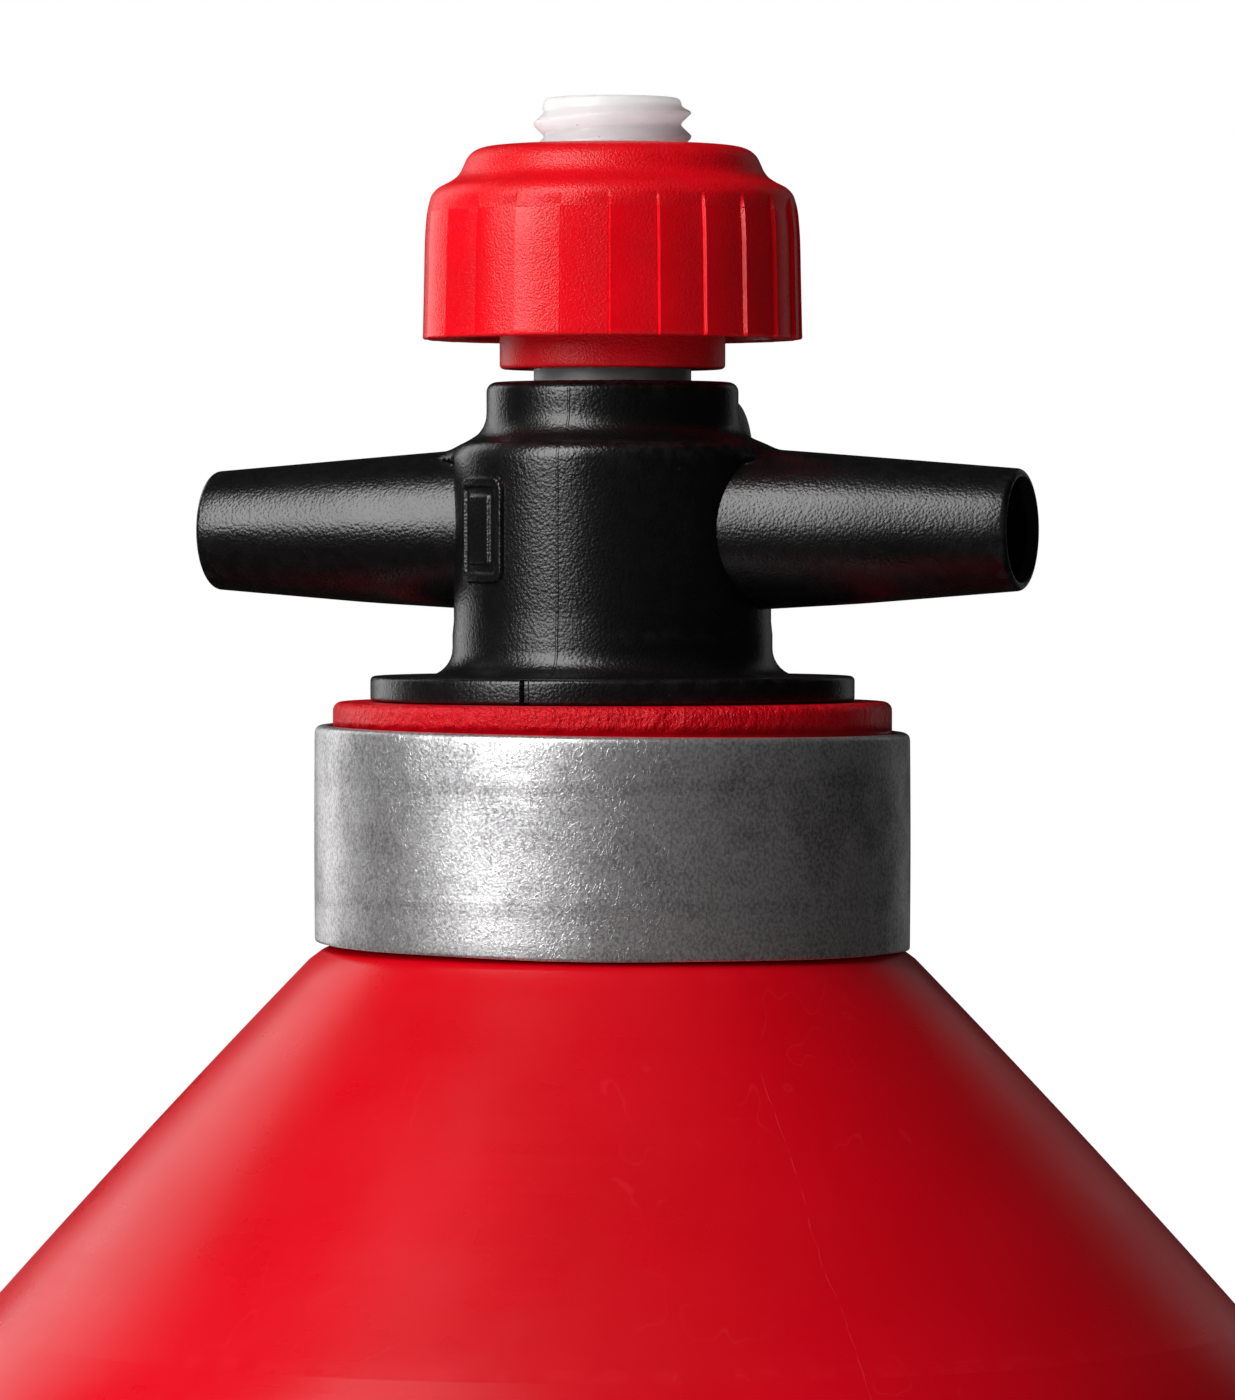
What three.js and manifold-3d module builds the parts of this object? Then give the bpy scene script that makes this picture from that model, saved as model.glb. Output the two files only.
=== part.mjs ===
// A half-litre stove-fuel bottle with a self-closing pour valve screwed into its neck.
// Millimetres, +Z up. The origin is the middle of the base, and the two valve arms lie along X.
import * as THREE from 'three';
import { mergeVertices } from 'three/addons/utils/BufferGeometryUtils.js';
import Module from 'manifold-3d';

const wasm = await Module();
wasm.setup();

// ---- clearances -------------------------------------------------------------------------------
const restGap = 0.05;      // two faces that rest on each other
const slideGap = 0.3;      // round pieces that turn or slide in each other, as a radius
const pressGap = 0.15;     // round pieces that are pressed together, as a radius

// ---- bottle -----------------------------------------------------------------------------------
const bottleRadius = 37.5;
const shoulderZ = 146;          // where the shoulder meets the neck
const wall = 1.5;
const baseCorner = 5.5;         // rounding between the base and the wall
const standWidth = 7.5;         // flat ring that the bottle stands on
const baseRecess = 1.6;         // how far the middle of the base is raised
const recessSlope = 2.5;
const shoulderTopRadius = 15.42;
const shoulderSpread = 0.925;   // radius gained for each millimetre down the shoulder
const shoulderBulge = 0.3;
const bendInset = 5.25;         // radius left for the bend between the shoulder and the wall

// ---- neck, its collar and its gasket ----------------------------------------------------------
const threadRadius = 10.4;      // outside of the valve's threaded plug
const plugLength = 11;
const neckWall = 3.5;
const neckHeight = 13.1;
const lipChamfer = 0.45;
const throatDepth = 1.5;        // bore below the plug, before the inside widens
const gasketThickness = 1.5;
const gasketWidth = 1.05;
const collarHeight = 11.1;
const collarLift = 0.6;         // collar's lower edge above the shoulder
const collarWall = 0.65;
const collarEdge = 0.3;

// ---- valve housing ----------------------------------------------------------------------------
const flangeOverhang = 0.4;     // flange beyond the rebate that holds the gasket
const flangeThickness = 1.25;
const bodyRadius = 8.06;
const housingWall = 1.56;
const bodyFillet = 1.4;
const bodyHeight = 12.85;       // from the flange's underside to the cove
const coveHeight = 1.2;
const collarTopHeight = 2.1;    // the narrow top of the housing, above the cove
const topRadius = 6.4;
const topEdge = 0.5;
const roofThickness = 4.3;      // material that the spindle passes through
const plugChamfer = 0.5;
const plugWall = 1.8;

// ---- arms, eye and raised pad -----------------------------------------------------------------
const armHeight = 8.65;         // arm axis above the flange's underside
const armReach = 21.75;
const armTipRadius = 3.05;
const armTaper = 0.0786;        // radius gained for each millimetre towards the body
const armTipEdge = 0.45;
const armWall = 0.65;
const armMouthChamfer = 0.35;
const eyeRadius = 3.2;
const eyeHole = 1.6;
const eyeThickness = 4.2;
const eyeReach = 12.9;          // centre of the eye from the axis
const eyeHeight = 12.35;        // centre of the eye above the flange's underside
const padAzimuth = -35;         // degrees round from the front, towards the left arm
const padWidth = 3.6;
const padHeight = 5.4;
const padRise = 0.25;

// ---- spindle and what it carries --------------------------------------------------------------
const spindleRadius = 4;
const threadDepth = 0.5;
const threadPitch = 1.25;
const threadStart = 1.25;       // first thread above the housing's top
const spindleStand = 14.4;      // spindle's end above the housing's top
const spindleChamfer = 0.35;
const springStemRadius = 2.6;   // spindle inside the spring
const tailRadius = 1.9;         // spindle that carries the disc
const tailLength = 3.8;         // tail below the seat
const portRadius = 3.6;
const seatThickness = 2;
const landHeight = 0.6;
const landWidth = 1;
const seatDepth = 1.3;          // seat's land above the plug's end
const springHeight = 11;
const springWire = 0.6;
const springTurns = 6;
const springRadius = 4.7;       // middle of the wire
const springShoulder = 1.4;     // spindle shoulder on top of the spring, thickness
const discOverlap = 1;          // disc beyond the land
const discThickness = 1.6;
const discStop = 0.9;           // spindle flange above the disc, thickness
const washerRadius = 4;
const washerThickness = 0.7;
const clipRadius = 3.2;
const clipThickness = 0.5;
const clipGrooveDepth = 0.5;
const clipMouth = 50;           // degrees of the clip's opening, each side of its middle
const sealSection = 1.3;        // seal ring's cross-section, as a diameter
const sealHeight = 2.3;         // seal ring below the housing's top

// ---- control knob -----------------------------------------------------------------------------
const knobGap = 0.66;           // hub above the housing's top
const hubRadius = 5.73;
const hubHeight = 1.5;          // hub below the skirt
const hubEdge = 0.25;
const knobRadius = 9.65;
const knobTaper = 0.25;         // radius lost from the skirt's foot to its top
const skirtHeight = 7.2;
const skirtEdge = 0.55;
const crownRadius = 7.3;
const crownHeight = 2.6;        // cove and crown above the skirt
const crownEdge = 1.2;
const fluteCount = 24;
const fluteDepth = 0.2;
const fluteTurn = 3.8;          // degrees from the X axis to a flute's edge
const fluteStep = 0.06;         // part of a flute that its step takes up
const skirtWall = 1.3;
const skirtRecess = 5.4;        // depth of the ring-shaped hollow between the skirt and the hub

// ---- fineness ---------------------------------------------------------------------------------
const fine = 48;                // facets round the big pieces
const medium = 32;
const small = 24;
const curveSteps = 3;           // chords in a rounded corner
const springSteps = 12;         // chords in one turn of the spring

// ---- derived places ---------------------------------------------------------------------------
const boreRadius = threadRadius + slideGap;
const neckRadius = boreRadius + neckWall;
const lipZ = shoulderZ + neckHeight;
const gasketInner = threadRadius + slideGap;
const gasketOuter = gasketInner + gasketWidth;
const counterRadius = gasketOuter + pressGap;
const counterZ = lipZ - gasketThickness - restGap;
const flangeRadius = counterRadius + flangeOverhang;
const flangeZ = lipZ + restGap;
const plugEndZ = flangeZ - plugLength;
const coveZ = flangeZ + bodyHeight;
const topNeckZ = coveZ + coveHeight;
const housingTopZ = topNeckZ + collarTopHeight;
const cavityRadius = bodyRadius - housingWall;
const cavityTopZ = housingTopZ - roofThickness;
const plugBore = threadRadius - plugWall;
const stemHole = spindleRadius + slideGap;
const armZ = flangeZ + armHeight;
const eyeZ = flangeZ + eyeHeight;
const landZ = plugEndZ + seatDepth;
const seatLowZ = landZ + landHeight;
const seatTopZ = seatLowZ + seatThickness;
const springBaseZ = seatTopZ + restGap;
const springTopZ = springBaseZ + springHeight;
const springShoulderZ = springTopZ + restGap;
const springShoulderRadius = springRadius + springWire / 2;
const discTopZ = landZ - restGap;
const washerTopZ = discTopZ - discThickness - restGap;
const clipTopZ = washerTopZ - washerThickness - restGap;
const tailEndZ = landZ - tailLength;
const sealZ = housingTopZ - sealHeight;
const sealGrooveRadius = stemHole - restGap - sealSection - restGap;
const hubZ = housingTopZ + knobGap;
const skirtZ = hubZ + hubHeight;
const skirtTopZ = skirtZ + skirtHeight;
const knobTopZ = skirtTopZ + crownHeight;
const spindleTopZ = housingTopZ + spindleStand;

// ---- materials --------------------------------------------------------------------------------
function finish(color, roughness, metalness = 0) {
  return new THREE.MeshStandardMaterial({ color, roughness, metalness });
}

const redBottle = finish(0xc8102a, 0.45);
const redKnob = finish(0xd01018, 0.5);
const blackPlastic = finish(0x161617, 0.5);
const whitePlastic = finish(0xdedadb, 0.4);
const aluminium = finish(0xb4b6b8, 0.4, 1);
const springSteel = finish(0xa8abae, 0.3, 1);
const blackRubber = finish(0x1c1c1c, 0.85);

// ---- helpers ----------------------------------------------------------------------------------
function point(radius, z) {
  return new THREE.Vector2(radius, z);
}

// A quarter of a circle between two points, turning about the corner that they share.
function rounded(from, corner, to) {
  return new THREE.QuadraticBezierCurve(from, corner, to).getPoints(curveSteps);
}

// Turns a profile of radius and height, which runs up the outside, round the Z axis.
function turned(profile, facets) {
  return new THREE.LatheGeometry(profile, facets).rotateX(Math.PI / 2);
}

// A ring of rectangular section.
function ring(inner, outer, lowZ, highZ, facets) {
  const section = [point(inner, lowZ), point(outer, lowZ), point(outer, highZ), point(inner, highZ)];
  return turned([...section, section[0]], facets);
}

// A solid that booleans can use, with shared corners merged and the empty triangles left out.
function solidOf(geometry) {
  const bare = geometry.clone();
  bare.deleteAttribute('normal');
  bare.deleteAttribute('uv');
  const merged = mergeVertices(bare, 1e-4);
  const corners = merged.index.array;
  const kept = [];
  for (let i = 0; i < corners.length; i += 3) {
    const [a, b, c] = corners.slice(i, i + 3);
    if (a !== b && b !== c && c !== a) {
      kept.push(a, b, c);
    }
  }
  const vertProperties = new Float32Array(merged.attributes.position.array);
  const triVerts = Uint32Array.from(kept);
  return new wasm.Manifold(new wasm.Mesh({ numProp: 3, vertProperties, triVerts }));
}

function geometryOf(solid) {
  const { vertProperties, triVerts } = solid.getMesh();
  const geometry = new THREE.BufferGeometry();
  geometry.setAttribute('position', new THREE.BufferAttribute(vertProperties, 3));
  geometry.setIndex(new THREE.BufferAttribute(triVerts, 1));
  geometry.computeVertexNormals();
  return geometry;
}

function joined(geometries) {
  return geometries.map(solidOf).reduce((whole, next) => whole.add(next));
}

function piece(name, geometry, material) {
  const mesh = new THREE.Mesh(geometry, material);
  mesh.name = name;
  return mesh;
}

// ---- bottle -----------------------------------------------------------------------------------
// The outside of the shoulder and wall, from the base corner up to the neck, moved in by `inset`.
function bottleSide(inset) {
  const bendRadius = bottleRadius - bendInset;
  const bendZ = shoulderZ - (bendRadius - shoulderTopRadius) / shoulderSpread;
  const bendDrop = bendInset / shoulderSpread;
  const wallTopZ = bendZ - bendDrop - Math.hypot(bendInset, bendDrop);
  const lean = Math.atan(shoulderSpread);
  const acrossShoulder = inset * Math.cos(lean);
  const downShoulder = inset * Math.sin(lean);
  const wallFoot = point(bottleRadius - inset, baseCorner + inset * 0.5);
  const wallTop = point(bottleRadius - inset, wallTopZ);
  const bendCorner = point(bottleRadius - inset, bendZ - bendDrop - downShoulder / 2);
  const bendEnd = point(bendRadius - acrossShoulder, bendZ - downShoulder);
  const shoulderEnd = point(shoulderTopRadius - acrossShoulder, shoulderZ - downShoulder);
  const middle = bendEnd.clone().lerp(shoulderEnd, 0.5);
  const bulged = point(middle.x + shoulderBulge, middle.y + shoulderBulge);
  const bend = rounded(wallTop, bendCorner, bendEnd);
  const shoulder = rounded(bendEnd, bulged, shoulderEnd).slice(1);
  return [wallFoot, ...bend, ...shoulder];
}

function bottleBody() {
  const standOuter = bottleRadius - baseCorner;
  const standInner = standOuter - standWidth;
  const outerSide = bottleSide(0);
  const innerSide = bottleSide(wall).reverse();
  const innerFoot = innerSide.at(-1);
  const floorZ = baseRecess + wall;
  const profile = [
    point(0, baseRecess),
    point(standInner - recessSlope, baseRecess),
    point(standInner, 0),
    ...rounded(point(standOuter, 0), point(bottleRadius, 0), point(bottleRadius, baseCorner)),
    ...outerSide.slice(1),
    point(neckRadius, shoulderZ),
    point(neckRadius, lipZ - lipChamfer),
    point(neckRadius - lipChamfer, lipZ),
    point(counterRadius, lipZ),
    point(counterRadius, counterZ),
    point(boreRadius, counterZ),
    point(boreRadius, plugEndZ - throatDepth),
    ...innerSide.slice(0, -1),
    ...rounded(innerFoot, point(innerFoot.x, wall), point(standOuter, wall)),
    point(standInner, wall),
    point(standInner - recessSlope, floorZ),
    point(0, floorZ),
  ];
  return piece('bottle_body', turned(profile, fine), redBottle);
}

function neckCollar() {
  const inner = neckRadius + slideGap;
  const outer = inner + collarWall;
  const lowZ = shoulderZ + collarLift;
  const highZ = lowZ + collarHeight;
  const profile = [
    point(inner, lowZ),
    point(outer - collarEdge, lowZ),
    point(outer, lowZ + collarEdge),
    ...rounded(point(outer, highZ - collarEdge), point(outer, highZ), point(outer - collarEdge, highZ)),
    point(inner, highZ),
    point(inner, lowZ),
  ];
  return piece('neck_collar', turned(profile, fine), aluminium);
}

function neckGasket() {
  const lowZ = lipZ - gasketThickness;
  return piece('neck_gasket', ring(gasketInner, gasketOuter, lowZ, lipZ, fine), blackRubber);
}

// ---- valve housing ----------------------------------------------------------------------------
function housingShell() {
  const flangeTopZ = flangeZ + flangeThickness;
  const profile = [
    point(0, plugEndZ),
    point(threadRadius - plugChamfer, plugEndZ),
    point(threadRadius, plugEndZ + plugChamfer),
    point(threadRadius, flangeZ),
    point(flangeRadius, flangeZ),
    point(flangeRadius, flangeTopZ),
    ...rounded(
      point(bodyRadius + bodyFillet, flangeTopZ),
      point(bodyRadius, flangeTopZ),
      point(bodyRadius, flangeTopZ + bodyFillet),
    ),
    ...rounded(point(bodyRadius, coveZ), point(topRadius, coveZ), point(topRadius, topNeckZ)),
    ...rounded(
      point(topRadius, housingTopZ - topEdge),
      point(topRadius, housingTopZ),
      point(topRadius - topEdge, housingTopZ),
    ),
    point(0, housingTopZ),
  ];
  return turned(profile, medium);
}

// The space inside: the plug's bore for the seat, the chamber above it and the hole for the spindle.
function housingHollow() {
  const past = 1;
  const profile = [
    point(0, plugEndZ - past),
    point(plugBore, plugEndZ - past),
    point(plugBore, seatTopZ + restGap),
    point(cavityRadius, seatTopZ + restGap),
    point(cavityRadius, cavityTopZ),
    point(stemHole, cavityTopZ),
    point(stemHole, housingTopZ + past),
    point(0, housingTopZ + past),
  ];
  return turned(profile, medium);
}

// An arm turned about its own axis, then laid along X. side is 1 for the right arm and -1 for the left.
function laidAlongX(profile, side) {
  return turned(profile, small).rotateY((side * Math.PI) / 2).translate(0, 0, armZ);
}

function armShell(side) {
  const rootRadius = armTipRadius + armReach * armTaper;
  const nearTipRadius = armTipRadius + armTipEdge * armTaper;
  const profile = [
    point(0, 0),
    point(rootRadius, 0),
    ...rounded(
      point(nearTipRadius, armReach - armTipEdge),
      point(armTipRadius, armReach),
      point(armTipRadius - armTipEdge / 2, armReach),
    ),
    point(0, armReach),
  ];
  return laidAlongX(profile, side);
}

function armBore(side) {
  const past = 1;
  const bore = armTipRadius - armWall;
  const profile = [
    point(0, 0),
    point(bore, 0),
    point(bore, armReach - armMouthChamfer),
    point(bore + armMouthChamfer / 2, armReach),
    point(bore + armMouthChamfer / 2, armReach + past),
    point(0, armReach + past),
  ];
  return laidAlongX(profile, side);
}

// The lanyard eye: a flat lug behind the body, in the plane of the mould's parting line.
function lanyardEye() {
  const outline = new THREE.Shape();
  const root = cavityRadius + housingWall / 2;
  outline.moveTo(root, -eyeRadius);
  outline.lineTo(eyeReach, -eyeRadius);
  outline.absarc(eyeReach, 0, eyeRadius, -Math.PI / 2, Math.PI / 2, false);
  outline.lineTo(root, eyeRadius * 0.6);
  outline.closePath();
  const hole = new THREE.Path();
  hole.absarc(eyeReach, 0, eyeHole, 0, 2 * Math.PI, true);
  outline.holes.push(hole);
  const plate = new THREE.ExtrudeGeometry(outline, {
    depth: eyeThickness,
    bevelEnabled: false,
    curveSegments: 8,
  });
  plate.translate(0, 0, -eyeThickness / 2);
  plate.rotateX(Math.PI / 2);
  plate.rotateZ(Math.PI / 2);
  return plate.translate(0, 0, eyeZ);
}

// A plain raised pad on the front left of the body.
function raisedPad() {
  const root = bodyRadius - housingWall / 2;
  const depth = bodyRadius + padRise - root;
  const pad = new THREE.BoxGeometry(padWidth, depth, padHeight);
  pad.translate(0, -root - depth / 2, armZ);
  return pad.rotateZ(THREE.MathUtils.degToRad(padAzimuth));
}

function valveHousing() {
  const outside = joined([housingShell(), armShell(1), armShell(-1), lanyardEye(), raisedPad()]);
  const inside = joined([housingHollow(), armBore(1), armBore(-1)]);
  return piece('valve_housing', geometryOf(outside.subtract(inside)), blackPlastic);
}

// ---- inside the valve -------------------------------------------------------------------------
function valveSeat() {
  const outer = plugBore - pressGap;
  const profile = [
    point(portRadius, landZ),
    point(portRadius + landWidth, landZ),
    point(portRadius + landWidth + landHeight / 2, seatLowZ),
    point(outer, seatLowZ),
    point(outer, seatTopZ),
    point(portRadius, seatTopZ),
    point(portRadius, landZ),
  ];
  return piece('valve_seat', turned(profile, medium), blackPlastic);
}

class Helix extends THREE.Curve {
  constructor(radius, lowZ, highZ, turns) {
    super();
    Object.assign(this, { radius, lowZ, highZ, turns });
  }

  getPoint(t, target = new THREE.Vector3()) {
    const angle = 2 * Math.PI * this.turns * t;
    const z = this.lowZ + (this.highZ - this.lowZ) * t;
    return target.set(this.radius * Math.cos(angle), this.radius * Math.sin(angle), z);
  }
}

function returnSpring() {
  const wireRadius = springWire / 2;
  const path = new Helix(springRadius, springBaseZ + wireRadius, springTopZ - wireRadius, springTurns);
  const section = new THREE.Shape().absarc(0, 0, wireRadius, 0, 2 * Math.PI, false);
  const steps = springTurns * springSteps;
  const geometry = new THREE.ExtrudeGeometry(section, { steps, extrudePath: path, curveSegments: 4 });
  return piece('return_spring', geometry, springSteel);
}

function valveSpindle() {
  const tailFoot = tailRadius - spindleChamfer;
  const clipFloor = tailRadius - clipGrooveDepth;
  const clipLowZ = clipTopZ - clipThickness;
  const discStopZ = discTopZ + restGap;
  const discStopRadius = (tailRadius + portRadius) / 2;
  const sealHalf = sealSection / 2 + pressGap;
  const rootRadius = spindleRadius - threadDepth;
  const threadLength = spindleStand - threadStart - spindleChamfer;
  const ridges = [];
  for (let i = 0; i < Math.floor(threadLength / threadPitch); i += 1) {
    const z = housingTopZ + threadStart + i * threadPitch;
    ridges.push(point(spindleRadius, z), point(rootRadius, z + threadPitch / 2));
  }
  const profile = [
    point(0, tailEndZ),
    point(tailFoot, tailEndZ),
    point(tailRadius, tailEndZ + spindleChamfer),
    point(tailRadius, clipLowZ - restGap),
    point(clipFloor, clipLowZ - restGap),
    point(clipFloor, clipTopZ + restGap),
    point(tailRadius, clipTopZ + restGap),
    point(tailRadius, discStopZ),
    point(discStopRadius, discStopZ),
    point(discStopRadius, discStopZ + discStop),
    point(springStemRadius, discStopZ + discStop),
    point(springStemRadius, springShoulderZ),
    point(springShoulderRadius, springShoulderZ),
    point(springShoulderRadius, springShoulderZ + springShoulder),
    point(spindleRadius, springShoulderZ + springShoulder),
    point(spindleRadius, sealZ - sealHalf),
    point(sealGrooveRadius, sealZ - sealHalf),
    point(sealGrooveRadius, sealZ + sealHalf),
    point(spindleRadius, sealZ + sealHalf),
    ...ridges,
    point(rootRadius, spindleTopZ - spindleChamfer),
    point(rootRadius - spindleChamfer, spindleTopZ),
    point(0, spindleTopZ),
  ];
  return piece('valve_spindle', turned(profile, small), whitePlastic);
}

function stemSeal() {
  const sectionRadius = sealSection / 2;
  const ringRadius = sealGrooveRadius + restGap + sectionRadius;
  const torus = new THREE.TorusGeometry(ringRadius, sectionRadius, 8, small);
  torus.translate(0, 0, sealZ);
  return piece('stem_seal', torus, blackRubber);
}

function valveDisc() {
  const outer = portRadius + landWidth + discOverlap;
  const disc = ring(tailRadius + pressGap, outer, discTopZ - discThickness, discTopZ, medium);
  return piece('valve_disc', disc, blackRubber);
}

function discWasher() {
  const washer = ring(tailRadius + pressGap, washerRadius, washerTopZ - washerThickness, washerTopZ, small);
  return piece('disc_washer', washer, springSteel);
}

// An open ring that snaps into the spindle's groove.
function retainingClip() {
  const inner = tailRadius - clipGrooveDepth + pressGap;
  const start = THREE.MathUtils.degToRad(clipMouth);
  const end = 2 * Math.PI - start;
  const outline = new THREE.Shape();
  outline.absarc(0, 0, clipRadius, start, end, false);
  outline.absarc(0, 0, inner, end, start, true);
  outline.closePath();
  const clip = new THREE.ExtrudeGeometry(outline, {
    depth: clipThickness,
    bevelEnabled: false,
    curveSegments: 14,
  });
  return piece('retaining_clip', clip.translate(0, 0, clipTopZ - clipThickness), springSteel);
}

// ---- control knob -----------------------------------------------------------------------------
// The knob's outside, with a smooth skirt.
function knobShell() {
  const skirtTopRadius = knobRadius - knobTaper;
  const profile = [
    point(0, hubZ),
    point(hubRadius - hubEdge, hubZ),
    point(hubRadius, hubZ + hubEdge),
    point(hubRadius, skirtZ),
    point(knobRadius, skirtZ),
    ...rounded(
      point(skirtTopRadius, skirtTopZ - skirtEdge),
      point(skirtTopRadius, skirtTopZ),
      point(skirtTopRadius - skirtEdge, skirtTopZ),
    ),
    ...rounded(
      point(skirtTopRadius - skirtEdge, skirtTopZ),
      point(crownRadius, skirtTopZ),
      point(crownRadius, skirtTopZ + crownHeight - crownEdge),
    ).slice(1),
    ...rounded(
      point(crownRadius, knobTopZ - crownEdge),
      point(crownRadius, knobTopZ),
      point(crownRadius - crownEdge, knobTopZ),
    ).slice(1),
    point(0, knobTopZ),
  ];
  return turned(profile, fine);
}

// A ratchet outline: each flute steps out at its edge and falls back before the next one.
function fluteOutline() {
  const pitch = (2 * Math.PI) / fluteCount;
  const stepAngle = pitch * fluteStep;
  const low = knobRadius - fluteDepth;
  const corners = [];
  for (let i = 0; i < fluteCount; i += 1) {
    const foot = THREE.MathUtils.degToRad(fluteTurn) + i * pitch;
    const crest = foot + stepAngle;
    corners.push(new THREE.Vector2(low * Math.cos(foot), low * Math.sin(foot)));
    corners.push(new THREE.Vector2(knobRadius * Math.cos(crest), knobRadius * Math.sin(crest)));
  }
  return new THREE.Shape(corners);
}

function controlKnob() {
  const past = 1;
  const depth = knobTopZ - hubZ + 2 * past;
  const flutes = new THREE.ExtrudeGeometry(fluteOutline(), { depth, bevelEnabled: false });
  flutes.translate(0, 0, hubZ - past);
  const recessOuter = knobRadius - knobTaper - skirtWall;
  const recess = ring(hubRadius, recessOuter, skirtZ - past, skirtZ + skirtRecess, medium);
  const bore = ring(0, spindleRadius + slideGap, hubZ - past, knobTopZ + past, medium);
  const solid = solidOf(knobShell()).intersect(solidOf(flutes)).subtract(joined([recess, bore]));
  return piece('control_knob', geometryOf(solid), redKnob);
}

// ---- assembly ---------------------------------------------------------------------------------
const bottle = new THREE.Group();
bottle.add(bottleBody(), neckCollar());

const plunger = new THREE.Group();
plunger.add(valveSpindle(), stemSeal(), valveDisc(), discWasher(), retainingClip(), controlKnob());

const valve = new THREE.Group();
valve.add(neckGasket(), valveHousing(), valveSeat(), returnSpring(), plunger);

const fuelBottle = new THREE.Group();
fuelBottle.add(bottle, valve);

export default fuelBottle;
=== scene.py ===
# A red fuel bottle with a self-closing pour valve in its neck.
# Shapes are worked out in millimetres and made metres as they become meshes. +Z is up.
import math

import bmesh
import bpy
import numpy as np
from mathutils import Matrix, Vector


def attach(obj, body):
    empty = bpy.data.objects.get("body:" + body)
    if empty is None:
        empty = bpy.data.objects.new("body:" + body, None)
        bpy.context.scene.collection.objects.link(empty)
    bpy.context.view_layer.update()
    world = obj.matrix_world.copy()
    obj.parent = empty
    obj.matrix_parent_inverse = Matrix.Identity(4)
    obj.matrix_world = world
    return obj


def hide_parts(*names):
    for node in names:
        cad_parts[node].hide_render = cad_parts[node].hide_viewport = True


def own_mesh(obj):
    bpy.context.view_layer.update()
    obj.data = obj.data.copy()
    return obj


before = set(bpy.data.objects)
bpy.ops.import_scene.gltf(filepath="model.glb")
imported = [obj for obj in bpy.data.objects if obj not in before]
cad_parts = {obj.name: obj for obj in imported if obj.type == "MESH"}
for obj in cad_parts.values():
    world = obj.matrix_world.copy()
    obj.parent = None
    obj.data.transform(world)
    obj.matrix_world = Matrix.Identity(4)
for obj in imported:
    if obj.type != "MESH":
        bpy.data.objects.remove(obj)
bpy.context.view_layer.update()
mm = 0.001
viewAngle = math.radians(20)     # the camera stands this far round from the front, to the right
print("frame loaded:", len(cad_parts), "nodes")


def roundedPath(corners, closed=False, steps=6):
    # Corner c with unit directions b back and f forward becomes an arc of radius q about
    # c + q / sin(half) along b + f, swept evenly from one side to the other.
    corners = np.array(corners, float)
    at, bend = corners[:, :2], corners[:, 2].copy()
    back, forward = np.roll(at, 1, 0) - at, np.roll(at, -1, 0) - at
    back /= np.linalg.norm(back, axis=1)[:, None] + 1e-12
    forward /= np.linalg.norm(forward, axis=1)[:, None] + 1e-12
    if not closed:
        bend[[0, -1]] = 0
    half = np.arccos(np.clip((back * forward).sum(1), -0.9999, 0.9999)) / 2
    middle = back + forward
    middle /= np.linalg.norm(middle, axis=1)[:, None] + 1e-12
    centre = at + middle * (bend / np.sin(half))[:, None]
    reach = (bend / np.tan(half))[:, None]
    first, last = at + back * reach - centre, at + forward * reach - centre
    turn = np.maximum(np.pi - 2 * half, 1e-3)[:, None, None]
    share = np.linspace(0, 1, steps)[None, :, None]
    arc = np.sin((1 - share) * turn) * first[:, None] + np.sin(share * turn) * last[:, None]
    path = (arc / np.sin(turn) + centre[:, None]).reshape(-1, 2)
    return path[np.r_[True, np.linalg.norm(np.diff(path, axis=0), axis=1) > 1e-5]]


def smoothPath(points, steps=5):
    # Catmull-Rom curve through the points: each stretch is the cubic whose slope at a point
    # is half the step between that point's neighbours.
    p = np.array(points, float)
    p = np.vstack([2 * p[0] - p[1], p, 2 * p[-1] - p[-2]])
    t = np.linspace(0, 1, steps, endpoint=False)[None, :, None]
    a, b, c, d = p[:-3, None], p[1:-2, None], p[2:-1, None], p[3:, None]
    curve = b + t * (c - a) / 2 + t**2 * (a - 2.5 * b + 2 * c - d / 2) + t**3 * (3 * (b - c) + d - a) / 2
    return np.vstack([curve.reshape(-1, 2), p[-2]])


def spaced(path, gap):
    # Straight stretches longer than gap are cut into equal parts; gap may depend on the height.
    length = np.linalg.norm(np.diff(path, axis=0), axis=1)
    widest = gap((path[1:, 1] + path[:-1, 1]) / 2) if callable(gap) else gap
    parts = np.maximum(np.ceil(length / widest), 1).astype(int)
    stretch = np.repeat(np.arange(len(parts)), parts)
    share = (np.arange(len(stretch)) - np.repeat(np.cumsum(parts) - parts, parts)) / parts[stretch]
    cut = path[stretch] + (path[stretch + 1] - path[stretch]) * share[:, None]
    return np.vstack([cut, path[-1:]])


def gridShell(grid, closedAlong=False, closedAround=True):
    # Quads between neighbouring rows and columns of a grid of points, wrapped where it closes.
    index = np.arange(grid.shape[0] * grid.shape[1]).reshape(grid.shape[:2])
    if closedAround:
        index = np.hstack([index, index[:, :1]])
    if closedAlong:
        index = np.vstack([index, index[:1]])
    quads = np.stack([index[:-1, :-1], index[1:, :-1], index[1:, 1:], index[:-1, 1:]], -1)
    return grid.reshape(-1, 3), quads.reshape(-1, 4)


def turned(path, angles, shape=None, closed=True):
    # x = r cos a, y = r sin a, z = h for each profile point (r, h) and angle a;
    # shape(r, h, a) may first change r and h.
    r = np.repeat(path[:, :1], len(angles), 1)
    h = np.repeat(path[:, 1:], len(angles), 1)
    a = np.repeat(angles[None, :], len(path), 0)
    if shape:
        r, h = shape(r, h, a)
    return gridShell(np.stack([r * np.cos(a), r * np.sin(a), h], -1), closed)


def evenAngles(count):
    # 2 pi i / count for i = 0 .. count - 1.
    return np.linspace(0, 2 * np.pi, count, endpoint=False)


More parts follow.
